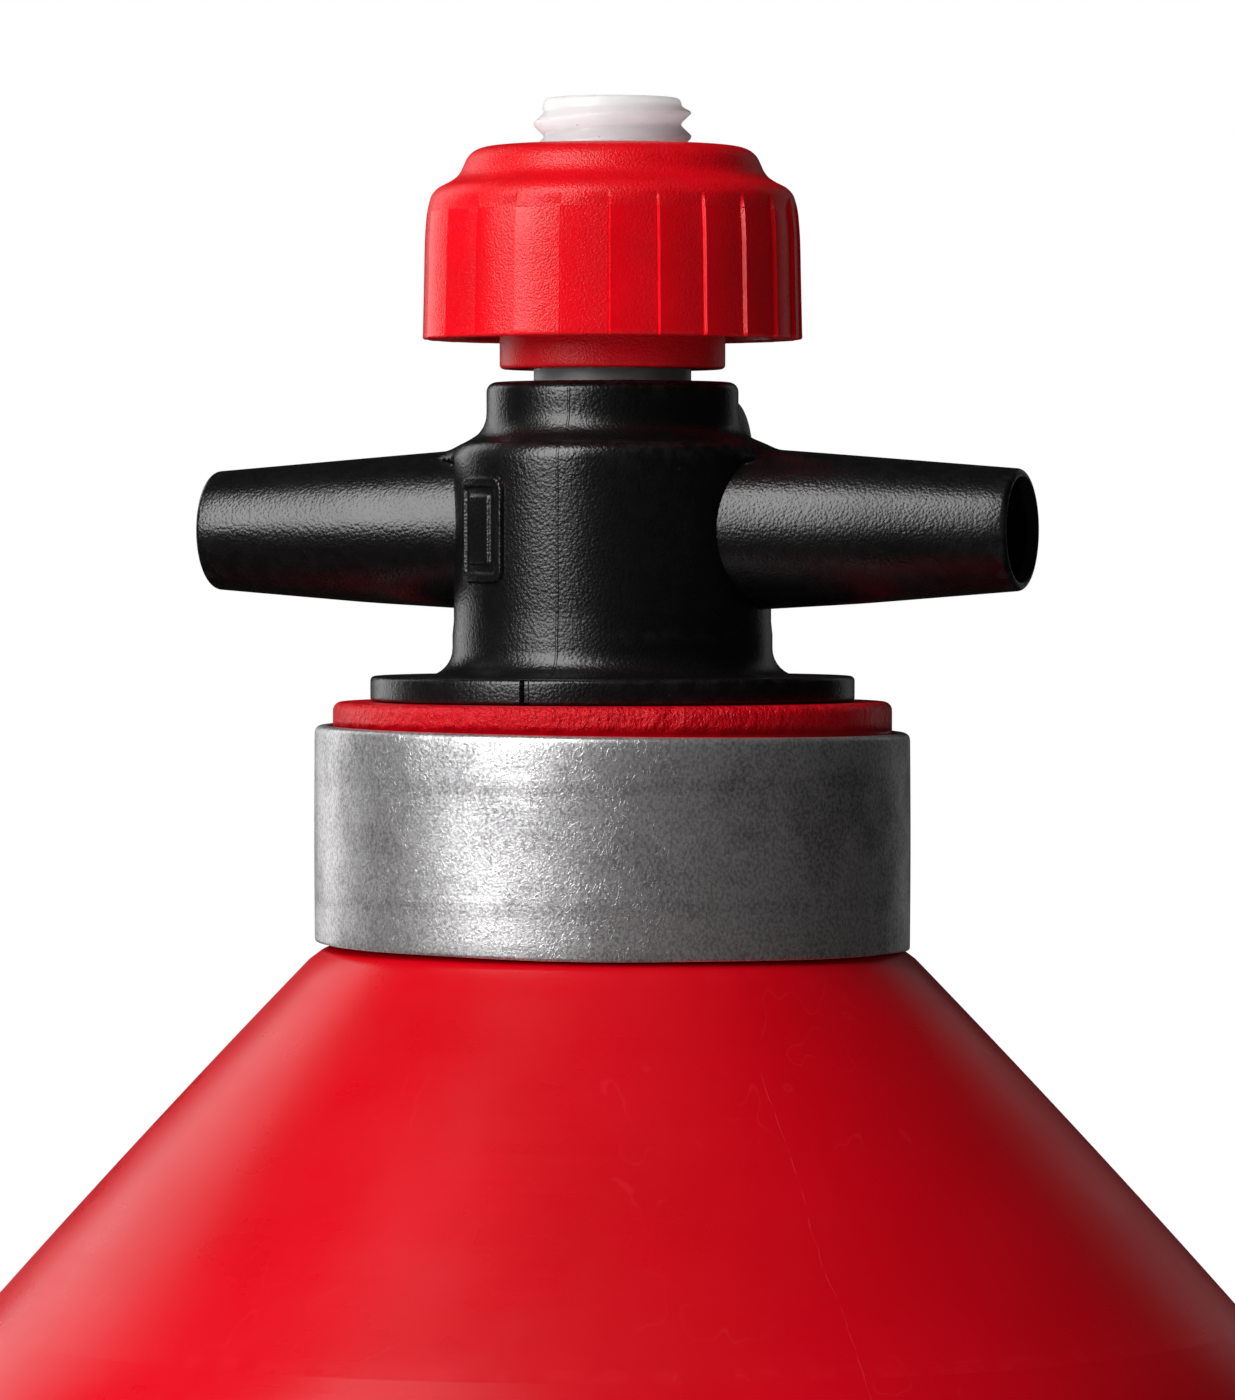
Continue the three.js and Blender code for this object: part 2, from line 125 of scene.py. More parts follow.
def ramp(value, low, high):
    # 0 below low, 1 above high, and 3t^2 - 2t^3 between them.
    t = np.clip((value - low) / (high - low), 0, 1)
    return t * t * (3 - 2 * t)


def threadWave(h, a, pitch, crest, land=0.18):
    # How far a right-hand thread stands up: with f twice the distance to the nearest crest, in pitches,
    # (1 - land - f) / (1 - 2 land), held to 0..1. The crest climbs one pitch each turn.
    turns = (h - crest) / pitch - a / (2 * np.pi)
    fall = np.abs(2 * (turns - np.round(turns)))
    return np.clip((1 - land - fall) / (1 - 2 * land), 0, 1)


def markEdges(mesh):
    # At each vertex, the mean of -(normal . direction) over its edges: above 0 on outer corners, below 0
    # in inner ones.
    co = np.empty(len(mesh.vertices) * 3)
    mesh.vertices.foreach_get("co", co)
    normal = np.empty(len(co))
    mesh.vertex_normals.foreach_get("vector", normal)
    ends = np.empty(len(mesh.edges) * 2, int)
    mesh.edges.foreach_get("vertices", ends)
    co, normal, ends = co.reshape(-1, 3), normal.reshape(-1, 3), ends.reshape(-1, 2)
    way = co[ends[:, 1]] - co[ends[:, 0]]
    way /= np.linalg.norm(way, axis=1)[:, None] + 1e-12
    bend, count = np.zeros(len(co)), np.zeros(len(co))
    for near, sign in ((0, -1), (1, 1)):
        np.add.at(bend, ends[:, near], sign * (normal[ends[:, near]] * way).sum(1))
        np.add.at(count, ends[:, near], 1)
    layer = mesh.attributes.new("edge", "FLOAT", "POINT")
    layer.data.foreach_set("value", bend / np.maximum(count, 1))


def addObject(name, data):
    thing = bpy.data.objects.new(name, data)
    bpy.context.scene.collection.objects.link(thing)
    return thing


def makePiece(node, shells, material, body, sharpAngle=38):
    # Joins the shells, merges doubles at poles and seams, and turns every face outwards.
    starts = np.cumsum([0] + [len(shell[0]) for shell in shells[:-1]])
    points = np.concatenate([shell[0] for shell in shells]) * mm
    quads = np.concatenate([shell[1] + start for shell, start in zip(shells, starts)])
    mesh = bpy.data.meshes.new(node + "_look")
    mesh.from_pydata(points.tolist(), [], quads.tolist())
    work = bmesh.new()
    work.from_mesh(mesh)
    bmesh.ops.remove_doubles(work, verts=work.verts, dist=1e-7)
    bmesh.ops.recalc_face_normals(work, faces=work.faces)
    work.to_mesh(mesh)
    work.free()
    mesh.shade_smooth()
    mesh.set_sharp_from_angle(angle=math.radians(sharpAngle))
    markEdges(mesh)
    mesh.materials.append(material)
    piece = addObject(node + "_look", mesh)
    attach(piece, body)
    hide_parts(node)
    print(" made", piece.name, len(mesh.polygons), "faces")
    return piece


def addNode(tree, kind, inputs=None, **settings):
    # Makes a node; inputs holds, for each socket, a value or another node's output.
    made = tree.nodes.new("ShaderNode" + kind)
    for key, value in settings.items():
        setattr(made, key, value)
    for key, value in (inputs or {}).items():
        if isinstance(value, bpy.types.NodeSocket):
            tree.links.new(value, made.inputs[key])
        else:
            made.inputs[key].default_value = value
    return made


def mathNode(tree, operation, *values, clamp=False):
    return addNode(tree, "Math", dict(enumerate(values)), operation=operation, use_clamp=clamp).outputs[0]


def times(tree, a, b):
    return mathNode(tree, "MULTIPLY", a, b)


def rampNode(tree, value, low, high, start=0.0, end=1.0):
    keys = {"Value": value, "From Min": low, "From Max": high, "To Min": start, "To Max": end}
    return addNode(tree, "MapRange", keys, interpolation_type="SMOOTHSTEP").outputs["Result"]


def noiseNode(tree, vector, scale, detail=3.0, roughness=0.55):
    keys = {"Vector": vector, "Scale": scale, "Detail": detail, "Roughness": roughness}
    return addNode(tree, "TexNoise", keys).outputs["Fac"]


def mixColour(tree, amount, under, over):
    return addNode(tree, "Mix", {0: amount, 6: under, 7: over}, data_type="RGBA").outputs[2]


def weighted(tree, *parts):
    # The sum of mask * weight over the parts, held to at most 1.
    total = 0.0
    for mask, weight in parts:
        total = mathNode(tree, "MULTIPLY_ADD", mask, weight, total)
    return mathNode(tree, "MINIMUM", total, 1.0)


def newGroup(name, numbers, outputs):
    # A node group that takes a vector and some numbers, and gives numbers.
    group = bpy.data.node_groups.new(name, "ShaderNodeTree")
    group.interface.new_socket("Vector", in_out="INPUT", socket_type="NodeSocketVector")
    for label, value in numbers.items():
        socket = group.interface.new_socket(label, in_out="INPUT", socket_type="NodeSocketFloat")
        socket.default_value = value
    for label in outputs:
        group.interface.new_socket(label, in_out="OUTPUT", socket_type="NodeSocketFloat")
    return group, group.nodes.new("NodeGroupInput").outputs, group.nodes.new("NodeGroupOutput").inputs


def mouldGrainGroup():
    # Pebbled mould texture: rounded cells over fine noise. Size is the width of a pebble in metres.
    group, given, out = newGroup("mouldGrain", {"Size": 0.0002}, ["Height", "Tone"])
    scale = mathNode(group, "DIVIDE", 1.0, given["Size"])
    keys = {"Vector": given["Vector"], "Scale": scale, "Smoothness": 0.6}
    cells = addNode(group, "TexVoronoi", keys, feature="SMOOTH_F1")
    fine = noiseNode(group, given["Vector"], times(group, scale, 1.7), 2.0)
    pebble = mathNode(group, "SUBTRACT", 1.0, cells.outputs["Distance"])
    height = mathNode(group, "MULTIPLY_ADD", fine, 0.7, pebble)
    group.links.new(height, out["Height"])
    group.links.new(rampNode(group, height, 0.7, 1.2), out["Tone"])
    return group


def edgeWearAndShadeGroup():
    # Outer corners, broken up by noise, for wear, and inner corners, for painted shade where little light
    # would reach.
    group, given, out = newGroup("edgeWearAndCornerShade", {"Scale": 900.0, "Reach": 0.05}, ["Wear", "PaintedCornerShade"])
    edge = addNode(group, "Attribute", attribute_name="edge").outputs["Fac"]
    patchy = rampNode(group, noiseNode(group, given["Vector"], given["Scale"], 4.0), 0.42, 0.62)
    outer = mathNode(group, "DIVIDE", edge, given["Reach"], clamp=True)
    inner = mathNode(group, "DIVIDE", times(group, edge, -1.0), given["Reach"], clamp=True)
    group.links.new(times(group, outer, patchy), out["Wear"])
    group.links.new(inner, out["PaintedCornerShade"])
    return group


def speckGroup():
    # Scattered dust: small dots in a few of the cells. Share is the part of the cells that hold one.
    group, given, out = newGroup("specks", {"Scale": 700.0, "Share": 0.1, "Dot": 0.2}, ["Mask"])
    keys = {"Vector": given["Vector"], "Scale": given["Scale"], "Randomness": 1.0}
    cells = addNode(group, "TexVoronoi", keys)
    lucky = addNode(group, "SeparateColor", {"Color": cells.outputs["Color"]}).outputs[0]
    chosen = mathNode(group, "LESS_THAN", lucky, given["Share"])
    dot = mathNode(group, "LESS_THAN", cells.outputs["Distance"], times(group, given["Dot"], lucky))
    near = mathNode(group, "LESS_THAN", cells.outputs["Distance"], given["Dot"])
    size = mathNode(group, "MAXIMUM", dot, times(group, near, 0.6))
    group.links.new(times(group, chosen, size), out["Mask"])
    return group


def scuffGroup():
    # Thin wandering lines, where a stretched noise passes its middle value, kept to a few patches.
    group, given, out = newGroup("scuffs", {"Scale": 300.0, "Width": 0.01, "Cover": 0.5}, ["Mask"])
    lines = mathNode(group, "SUBTRACT", noiseNode(group, given["Vector"], given["Scale"], 1.0, 0.4), 0.5)
    off = mathNode(group, "DIVIDE", mathNode(group, "ABSOLUTE", lines), given["Width"])
    thin = mathNode(group, "SUBTRACT", 1.0, off, clamp=True)
    where = noiseNode(group, given["Vector"], times(group, given["Scale"], 0.31), 2.0)
    patch = mathNode(group, "GREATER_THAN", where, mathNode(group, "SUBTRACT", 1.0, given["Cover"]))
    group.links.new(times(group, thin, patch), out["Mask"])
    return group


grainGroup, wearAndShadeGroup = mouldGrainGroup(), edgeWearAndShadeGroup()
dustGroup, scratchGroup = speckGroup(), scuffGroup()


def groupNode(tree, group, **inputs):
    return addNode(tree, "Group", inputs, node_tree=group).outputs


# Gives the edge wear by default, or the painted shade in inner corners when that output is asked for.
def wearAndShadeMask(tree, place, s, label="Wear"):
    return groupNode(tree, wearAndShadeGroup, Vector=place, **s["wear"])[label]


def dustMask(tree, place, s):
    return groupNode(tree, dustGroup, Vector=place, **s["dust"])["Mask"]


def stretched(tree, place, scale, turn=(0, 0, 0)):
    return addNode(tree, "Mapping", {"Vector": place, "Scale": scale, "Rotation": turn}).outputs[0]


def newMaterial(name, **fixed):
    # A material, its tree and the object's own coordinates. An input's name has _ for each space.
    material = bpy.data.materials.new(name)
    material.use_nodes = True
    tree = material.node_tree
    for label, value in fixed.items():
        tree.nodes["Principled BSDF"].inputs[label.replace("_", " ")].default_value = value
    return material, tree, addNode(tree, "TexCoord").outputs["Object"]


def finishMaterial(material, colour, roughness, bumps):
    # bumps: (height, distance in metres, strength), one on top of another.
    tree = material.node_tree
    shader = tree.nodes["Principled BSDF"].inputs
    tree.links.new(colour, shader["Base Color"])
    tree.links.new(roughness, shader["Roughness"])
    keys = {}
    for height, distance, strength in bumps:
        keys.update({"Height": height, "Distance": distance, "Strength": strength})
        keys["Normal"] = addNode(tree, "Bump", keys).outputs[0]
    tree.links.new(keys["Normal"], shader["Normal"])
    return material


# Finishes. Noise scales are repeats in a metre, widths are metres, and a pair is a low and a high value.
bottleFinish = {
    "red": (0.54, 0.0004, 0.0078, 1), "deepRed": (0.47, 0.0002, 0.0045, 1), "scuffed": (0.66, 0.035, 0.05, 1),
    "gloss": 0.20, "roughness": (0.24, 0.31), "drift": 38.0, "haze": 160.0, "ripple": 55.0, "fine": 2600.0,
    "streaks": (40, 40, 1500), "trim": 900.0, "lip": (0.1576, 0.1582), "parting": (0.00003, 0.00014),
    "scuffs": {"Scale": 420.0, "Width": 0.008, "Cover": 0.42},
    "dust": {"Scale": 620.0, "Share": 0.07, "Dot": 0.055},
    "wear": {"Scale": 700.0, "Reach": 0.06},
    # one long scratch down the shoulder, in millimetres, fading out at scratchFoot
    "scratchFrom": (13.2, -15.4, 141.7), "scratchTo": (21.9, -24.7, 127.0), "scratchFoot": 0.112,
    "scratchWidth": (0.00001, 0.00005), "scratchWander": 0.0006,
}
collarFinish = {
    "bright": (0.80, 0.79, 0.795, 1), "dull": (0.27, 0.266, 0.272, 1), "paintedCornerShade": (0.16, 0.15, 0.15, 1),
    "metallic": 0.87, "roughness": (0.25, 0.35), "blotch": 230.0, "fleck": 6400.0, "pits": 7600.0,
    "rings": (30, 30, 2600), "bands": (155.3, 149.3), "bandWidth": (0.0001, 0.0006),
    # the wear settings here shape only the painted shade in the inner corners
    "strokes": {"Scale": 4000.0, "Width": 0.04, "Cover": 0.5}, "wear": {"Scale": 1200.0, "Reach": 0.08},
}
housingFinish = {
    "black": (0.0030, 0.0028, 0.0032, 1), "rubbed": (0.018, 0.017, 0.018, 1), "gloss": 0.47,
    "roughness": (0.24, 0.30),
    "pebble": 0.00016, "patches": 170.0, "seam": (0.00002, 0.00009),
    "wear": {"Scale": 1400.0, "Reach": 0.06}, "dust": {"Scale": 900.0, "Share": 0.12, "Dot": 0.07},
}
knobFinish = {
    "red": (0.66, 0.0007, 0.0068, 1), "deepRed": (0.56, 0.0003, 0.0044, 1), "paleMarksAndSheen": (0.80, 0.05, 0.055, 1),
    "gloss": 0.28, "roughness": (0.19, 0.24), "pebble": 0.00011, "drift": 190.0,
    "wear": {"Scale": 1500.0, "Reach": 0.07}, "dust": {"Scale": 1100.0, "Share": 0.14, "Dot": 0.08},
}
spindleFinish = {
    "white": (0.72, 0.695, 0.71, 1), "shade": (0.66, 0.63, 0.645, 1), "redDust": (0.6, 0.03, 0.04, 1),
    "gloss": 0.5, "depth": 0.012, "spread": (1.0, 0.95, 0.97), "roughness": (0.32, 0.46),
    "cloud": 420.0, "fine": 1700.0, "dustFrom": (0.1855, 0.1872),
    # the wear settings here shape only the painted shade in the inner corners
    "wear": {"Scale": 1500.0, "Reach": 0.08}, "dust": {"Scale": 1500.0, "Share": 0.16, "Dot": 0.12},
}
rubberFinish = {
    "dark": (0.014, 0.014, 0.015, 1), "bloomed": (0.034, 0.033, 0.032, 1), "dusty": (0.12, 0.11, 0.10, 1),
    "gloss": 0.35, "roughness": (0.62, 0.8), "bloom": 700.0, "pebble": 0.00012,
    "dust": {"Scale": 1600.0, "Share": 0.2, "Dot": 0.1},
}
steelFinish = {
    "bright": (0.60, 0.60, 0.61, 1), "hazy": (0.42, 0.41, 0.40, 1), "worn": (0.75, 0.75, 0.76, 1),
    "roughness": (0.22, 0.36), "haze": 500.0, "drawn": 2400.0, "wear": {"Scale": 1800.0, "Reach": 0.1},
}


def scratchMask(tree, place, y, z, s):
    # 1 near the plane through the scratch's two ends and the camera's direction, with offset
    # |p . side - first . side + wander|, below the scratch's upper end and only on the front.
    first, last = np.array(s["scratchFrom"]), np.array(s["scratchTo"])
    side = np.cross(last - first, (math.sin(viewAngle), -math.cos(viewAngle), 0))
    side /= np.linalg.norm(side)
    reach = addNode(tree, "VectorMath", {0: place, 1: tuple(side)}, operation="DOT_PRODUCT").outputs["Value"]
    wander = mathNode(tree, "SUBTRACT", noiseNode(tree, place, 260.0, 2.0), 0.5)
    wander = times(tree, wander, s["scratchWander"])
    off = mathNode(tree, "SUBTRACT", reach, float(side @ first) * mm)
    off = mathNode(tree, "ABSOLUTE", mathNode(tree, "ADD", off, wander))
    line = rampNode(tree, off, *s["scratchWidth"], 1.0, 0.0)
    broken = rampNode(tree, noiseNode(tree, place, 900.0, 2.0), 0.35, 0.6)
    under = mathNode(tree, "LESS_THAN", z, first[2] * mm)
    above = mathNode(tree, "GREATER_THAN", z, s["scratchFoot"])
    for limit in (broken, under, above, mathNode(tree, "LESS_THAN", y, 0.0)):
        line = times(tree, line, limit)
    return line


def bottleMaterial(s):
    # Smooth moulded plastic: a slow change of red, fine scuffs, a parting line and a knife-trimmed lip.
    material, tree, place = newMaterial("bottleRed", Specular_IOR_Level=s["gloss"])
    x, y, z = addNode(tree, "SeparateXYZ", {0: place}).outputs
    streaks = noiseNode(tree, stretched(tree, place, s["streaks"]), 1.0)
    slanted = stretched(tree, place, (1, 1, 0.25), (0.3, 0.5, 0))
    scuffs = groupNode(tree, scratchGroup, Vector=slanted, **s["scuffs"])["Mask"]
    dust = dustMask(tree, place, s)
    wear = wearAndShadeMask(tree, place, s)
    line = scratchMask(tree, place, y, z, s)
    marks = weighted(tree, (scuffs, 0.12), (line, 0.20), (dust, 0.28), (wear, 0.05))
    drift = rampNode(tree, noiseNode(tree, place, s["drift"]), 0.35, 0.7)
    colour = mixColour(tree, marks, mixColour(tree, drift, s["red"], s["deepRed"]), s["scuffed"])
    # the parting line of the two mould halves lies in the plane through the camera and the axis
    cross = times(tree, y, math.cos(viewAngle))
    cross = mathNode(tree, "MULTIPLY_ADD", x, -math.sin(viewAngle), cross)
    parting = rampNode(tree, mathNode(tree, "ABSOLUTE", cross), *s["parting"], 1.0, 0.0)
    knife = noiseNode(tree, stretched(tree, place, (1, 1, 0.7), (0.5, 0.3, 0)), s["trim"], 5.0, 0.72)
    trim = times(tree, knife, rampNode(tree, z, *s["lip"]))
    roughness = rampNode(tree, noiseNode(tree, place, s["haze"], 4.0), 0.3, 0.7, *s["roughness"])
    roughness = mathNode(tree, "MULTIPLY_ADD", marks, 0.2, roughness)
    roughness = mathNode(tree, "MULTIPLY_ADD", streaks, 0.05, roughness)
    ripple, fine = noiseNode(tree, place, s["ripple"], 2.0), noiseNode(tree, place, s["fine"])
    bumps = [(ripple, 0.0006, 0.08), (streaks, 0.00003, 0.13), (fine, 0.00003, 0.08), (parting, 0.00008, 0.6),
             (trim, 0.0006, 0.9), (line, 0.00003, 0.4)]
    return finishMaterial(material, colour, roughness, bumps)


def collarMaterial(s):
    # Rolled aluminium: flecks, blotches and short strokes, a rubbed ring near each edge, and painted shade
    # darkening the inner corners.
    material, tree, place = newMaterial("collarAluminium", Metallic=s["metallic"])
    z = addNode(tree, "SeparateXYZ", {0: place}).outputs[2]
    blotch = noiseNode(tree, place, s["blotch"], 5.0, 0.6)
    fleck = noiseNode(tree, stretched(tree, place, (1, 1, 0.8), (0.4, 0.2, 0.3)), s["fleck"], 4.0, 0.7)
    pits = noiseNode(tree, place, s["pits"], 4.0, 0.7)
    slanted = stretched(tree, place, (1, 1, 0.6), (0.7, 0.2, 0.4))
    strokes = groupNode(tree, scratchGroup, Vector=slanted, **s["strokes"])["Mask"]
    rings = noiseNode(tree, stretched(tree, place, s["rings"]), 1.0)
    paintedCornerShade = wearAndShadeMask(tree, place, s, "PaintedCornerShade")
    bands = 0.0
    for height in s["bands"]:
        off = mathNode(tree, "ABSOLUTE", mathNode(tree, "SUBTRACT", z, height * mm))
        bands = mathNode(tree, "ADD", rampNode(tree, off, *s["bandWidth"], 1.0, 0.0), bands)
    bands = times(tree, bands, noiseNode(tree, place, 90.0))
    flecked, blotched = rampNode(tree, fleck, 0.40, 0.62), rampNode(tree, blotch, 0.42, 0.64)
    shade = weighted(tree, (flecked, 0.60), (blotched, 0.42), (bands, 0.25))
    colour = mixColour(tree, shade, s["bright"], s["dull"])
    # painted shade: inner corners are mixed towards a dark grey
    colour = mixColour(tree, times(tree, paintedCornerShade, 0.4), colour, s["paintedCornerShade"])
    roughness = mathNode(tree, "MULTIPLY_ADD", fleck, 0.10, rampNode(tree, blotch, 0.3, 0.7, *s["roughness"]))
    bumps = [(blotch, 0.0002, 0.06), (rings, 0.00002, 0.22), (pits, 0.00004, 0.50), (strokes, 0.00003, 0.26),
             (bands, 0.00005, 0.35)]
    return finishMaterial(material, colour, roughness, bumps)


def housingMaterial(s):
    # Black moulded plastic with a pebbled grain, rubbed edges and the mould's seam in the plane x = 0.
    material, tree, place = newMaterial("housingBlack", Specular_IOR_Level=s["gloss"])
    x = addNode(tree, "SeparateXYZ", {0: place}).outputs[0]
    grain = groupNode(tree, grainGroup, Vector=place, Size=s["pebble"])
    wear = wearAndShadeMask(tree, place, s)
    dust = dustMask(tree, place, s)
    patches = noiseNode(tree, place, s["patches"])
    rubbed = weighted(tree, (wear, 0.45), (grain["Tone"], 0.05), (dust, 0.8))
    colour = mixColour(tree, rubbed, s["black"], s["rubbed"])
    seam = rampNode(tree, mathNode(tree, "ABSOLUTE", x), *s["seam"], 1.0, 0.0)
    roughness = rampNode(tree, patches, 0.3, 0.7, *s["roughness"])
    roughness = mathNode(tree, "MULTIPLY_ADD", wear, -0.05, roughness)
    bumps = [(patches, 0.0002, 0.04), (grain["Height"], 0.00005, 0.30), (seam, 0.00005, 0.35)]
    return finishMaterial(material, colour, roughness, bumps)


def knobMaterial(s):
    # Red moulded plastic. The grain is deepest where the "flute" attribute is high, away from each step, and
    # there the colour is also paled: partly the grain, partly a painted sheen for the light those faces
    # catch.
    material, tree, place = newMaterial("knobRed", Specular_IOR_Level=s["gloss"])
    grain = groupNode(tree, grainGroup, Vector=place, Size=s["pebble"])
    wear = wearAndShadeMask(tree, place, s)
    dust = dustMask(tree, place, s)
    drift = noiseNode(tree, place, s["drift"], 4.0)
    face = addNode(tree, "Attribute", attribute_name="flute").outputs["Fac"]
    # grain tone times the flute attribute: the grain, together with a painted sheen on each flute's far side
    grainAndSheen = times(tree, grain["Tone"], face)
    # paler with wear and dust, and with the painted sheen on the flutes
    paleMarksAndSheen = weighted(tree, (wear, 0.09), (dust, 0.18), (grainAndSheen, 0.05))
    colour = mixColour(tree, rampNode(tree, drift, 0.35, 0.7), s["red"], s["deepRed"])
    colour = mixColour(tree, paleMarksAndSheen, colour, s["paleMarksAndSheen"])
    roughness = mathNode(tree, "MULTIPLY_ADD", face, 0.10, rampNode(tree, drift, 0.3, 0.7, *s["roughness"]))
    depth = times(tree, grain["Height"], rampNode(tree, face, 0.0, 1.0, 0.32, 1.0))
    return finishMaterial(material, colour, roughness, [(drift, 0.0002, 0.04), (depth, 0.00004, 0.60)])


def spindleMaterial(s):
    # Milky plastic that light passes into, clouded, with painted shade in its inner corners and red dust from
    # the knob near its end.
    fixed = {"Subsurface_Weight": 1.0, "Subsurface_Scale": s["depth"], "Subsurface_Radius": s["spread"]}
    material, tree, place = newMaterial("spindleWhite", Specular_IOR_Level=s["gloss"], **fixed)
    z = addNode(tree, "SeparateXYZ", {0: place}).outputs[2]
    cloud = noiseNode(tree, place, s["cloud"], 4.0)
    paintedCornerShade = wearAndShadeMask(tree, place, s, "PaintedCornerShade")
    dust = dustMask(tree, place, s)
    dust = times(tree, dust, rampNode(tree, z, *s["dustFrom"]))
    colour = mixColour(tree, rampNode(tree, cloud, 0.3, 0.7), s["white"], s["shade"])
    # painted shade: inner corners, such as the thread's roots, are mixed towards the darker shade colour
    colour = mixColour(tree, times(tree, paintedCornerShade, 0.25), colour, s["shade"])
    colour = mixColour(tree, times(tree, dust, 0.7), colour, s["redDust"])
    roughness = rampNode(tree, cloud, 0.3, 0.7, *s["roughness"])
    fine = noiseNode(tree, place, s["fine"], 4.0)
    return finishMaterial(material, colour, roughness, [(fine, 0.00004, 0.22), (cloud, 0.0002, 0.08)])


def rubberMaterial(s):
    # Black rubber with a grey bloom and a little dust.
    material, tree, place = newMaterial("sealRubber", Specular_IOR_Level=s["gloss"])
    bloom = noiseNode(tree, place, s["bloom"], 4.0)
    grain = groupNode(tree, grainGroup, Vector=place, Size=s["pebble"])["Height"]
    dust = dustMask(tree, place, s)
    colour = mixColour(tree, rampNode(tree, bloom, 0.35, 0.75), s["dark"], s["bloomed"])
    colour = mixColour(tree, times(tree, dust, 0.5), colour, s["dusty"])
    roughness = rampNode(tree, bloom, 0.3, 0.7, *s["roughness"])
    return finishMaterial(material, colour, roughness, [(grain, 0.00004, 0.4)])


def steelMaterial(s):
    # Drawn and pressed steel, hazy, and brighter where its edges rub.
    material, tree, place = newMaterial("springSteel", Metallic=1.0)
    drawn = noiseNode(tree, stretched(tree, place, (1, 1, 6)), s["drawn"])
    haze = noiseNode(tree, place, s["haze"], 4.0)
    wear = wearAndShadeMask(tree, place, s)
    colour = mixColour(tree, rampNode(tree, haze, 0.3, 0.7), s["bright"], s["hazy"])
    colour = mixColour(tree, times(tree, wear, 0.4), colour, s["worn"])
    roughness = rampNode(tree, haze, 0.3, 0.7, *s["roughness"])
    return finishMaterial(material, colour, roughness, [(drawn, 0.00002, 0.35)])


bottleRed, collarAluminium = bottleMaterial(bottleFinish), collarMaterial(collarFinish)
housingBlack, knobRed = housingMaterial(housingFinish), knobMaterial(knobFinish)
spindleWhite, sealRubber = spindleMaterial(spindleFinish), rubberMaterial(rubberFinish)
springSteel = steelMaterial(steelFinish)
print("materials ready")


# The bottle. Profile corners are (radius, height, rounding), all in millimetres.
bottleShape = {
    "radius": 37.5, "wall": 1.5, "baseCorner": 5.5, "stand": 24.5, "recess": 1.6, "slope": 2.5,
    "bendCorner": 121.87, "bendRadius": 20.9, "shoulderTop": (15.42, 146.0), "shoulderEnd": (14.75, 146.5),
    "spread": 0.965, "easing": 0.0022, "drop": 18.2, "neck": 14.2, "lip": 159.1, "lipRound": 0.45,
    "rebate": (11.9, 157.55), "bore": 10.7, "boreEnd": 146.65, "threadDepth": 0.45, "threadPitch": 2.5,
    "around": 192, "neckGap": (147.5, 0.16), "bendGap": (110, 1.5), "wallGap": 6.0,
}


def shoulderCurve(s, inset):
    # r = top + spread * d - easing * d^2 at depth d below the neck, moved in by inset across the slope.
    d = np.linspace(s["drop"], 0, 16)
    lean = np.arctan(s["spread"] - 2 * s["easing"] * d)
    r = s["shoulderTop"][0] + s["spread"] * d - s["easing"] * d**2
    points = np.stack([r - inset * np.cos(lean), s["shoulderTop"][1] - d - inset * np.sin(lean)], -1)
    return [(*point, 0) for point in points]


def bottleSurface(s):
    # One profile, up the outside and down the inside, turned round the axis. The bore's thread is cut
    # outwards: r = bore + depth * (1 - wave), fading at both ends.
    foot, slope, wide, wall = s["stand"], s["slope"], s["radius"], s["wall"]
    outside = [(0, s["recess"], 0), (foot - slope, s["recess"], 1.5), (foot, 0, 1.2),
               (wide, 0, s["baseCorner"]),
               (wide, s["bendCorner"], s["bendRadius"]), *shoulderCurve(s, 0), (*s["shoulderEnd"], 0.2),
               (s["neck"], s["shoulderEnd"][1] + 0.25, 0.25), (s["neck"], s["lip"], s["lipRound"]),
               (s["rebate"][0], s["lip"], 0.12)]
    inside = [(*s["rebate"], 0.1), (s["bore"], s["rebate"][1], 0.15), (s["bore"], s["boreEnd"], 0.6),
              *shoulderCurve(s, wall)[::-1], (wide - wall, s["bendCorner"] - 0.6, s["bendRadius"] - wall),
              (wide - wall, wall, s["baseCorner"] - wall), (foot, wall, 1.2),
              (foot - slope, s["recess"] + wall, 1.5), (0, s["recess"] + wall, 0)]
    (neckFrom, neckGap), (bendFrom, bendGap) = s["neckGap"], s["bendGap"]
    path = roundedPath(outside + inside, steps=9)
    path = spaced(path,
                  lambda h: np.where(h > neckFrom, neckGap, np.where(h > bendFrom, bendGap, s["wallGap"])))
    low, high = s["boreEnd"], s["rebate"][1]

    def withThread(r, h, a):
        bore = (np.abs(r - s["bore"]) < 0.02) & (h > low + 0.8) & (h < high - 0.2)
        fade = ramp(h, low + 0.8, low + 2) * (1 - ramp(h, high - 1.2, high - 0.3))
        return r + bore * fade * s["threadDepth"] * (1 - threadWave(h, a, s["threadPitch"], 0)), h

    return turned(path, evenAngles(s["around"]), withThread, closed=False)


makePiece("bottle_body", [bottleSurface(bottleShape)], bottleRed, "bottle")

# The collar round the neck, and the gasket in the lip's rebate.
collarShape = {
    "inner": 14.76, "outer": 15.15, "low": 146.72, "high": 157.72, "topRound": 0.42, "lowRound": 0.16,
    "rolledIn": 0.3, "tilt": (0.2, 0.07), "around": 256,
}
gasketShape = {"inner": 10.7, "outer": 11.75, "low": 157.6, "high": 159.1, "edge": 0.22, "around": 128}


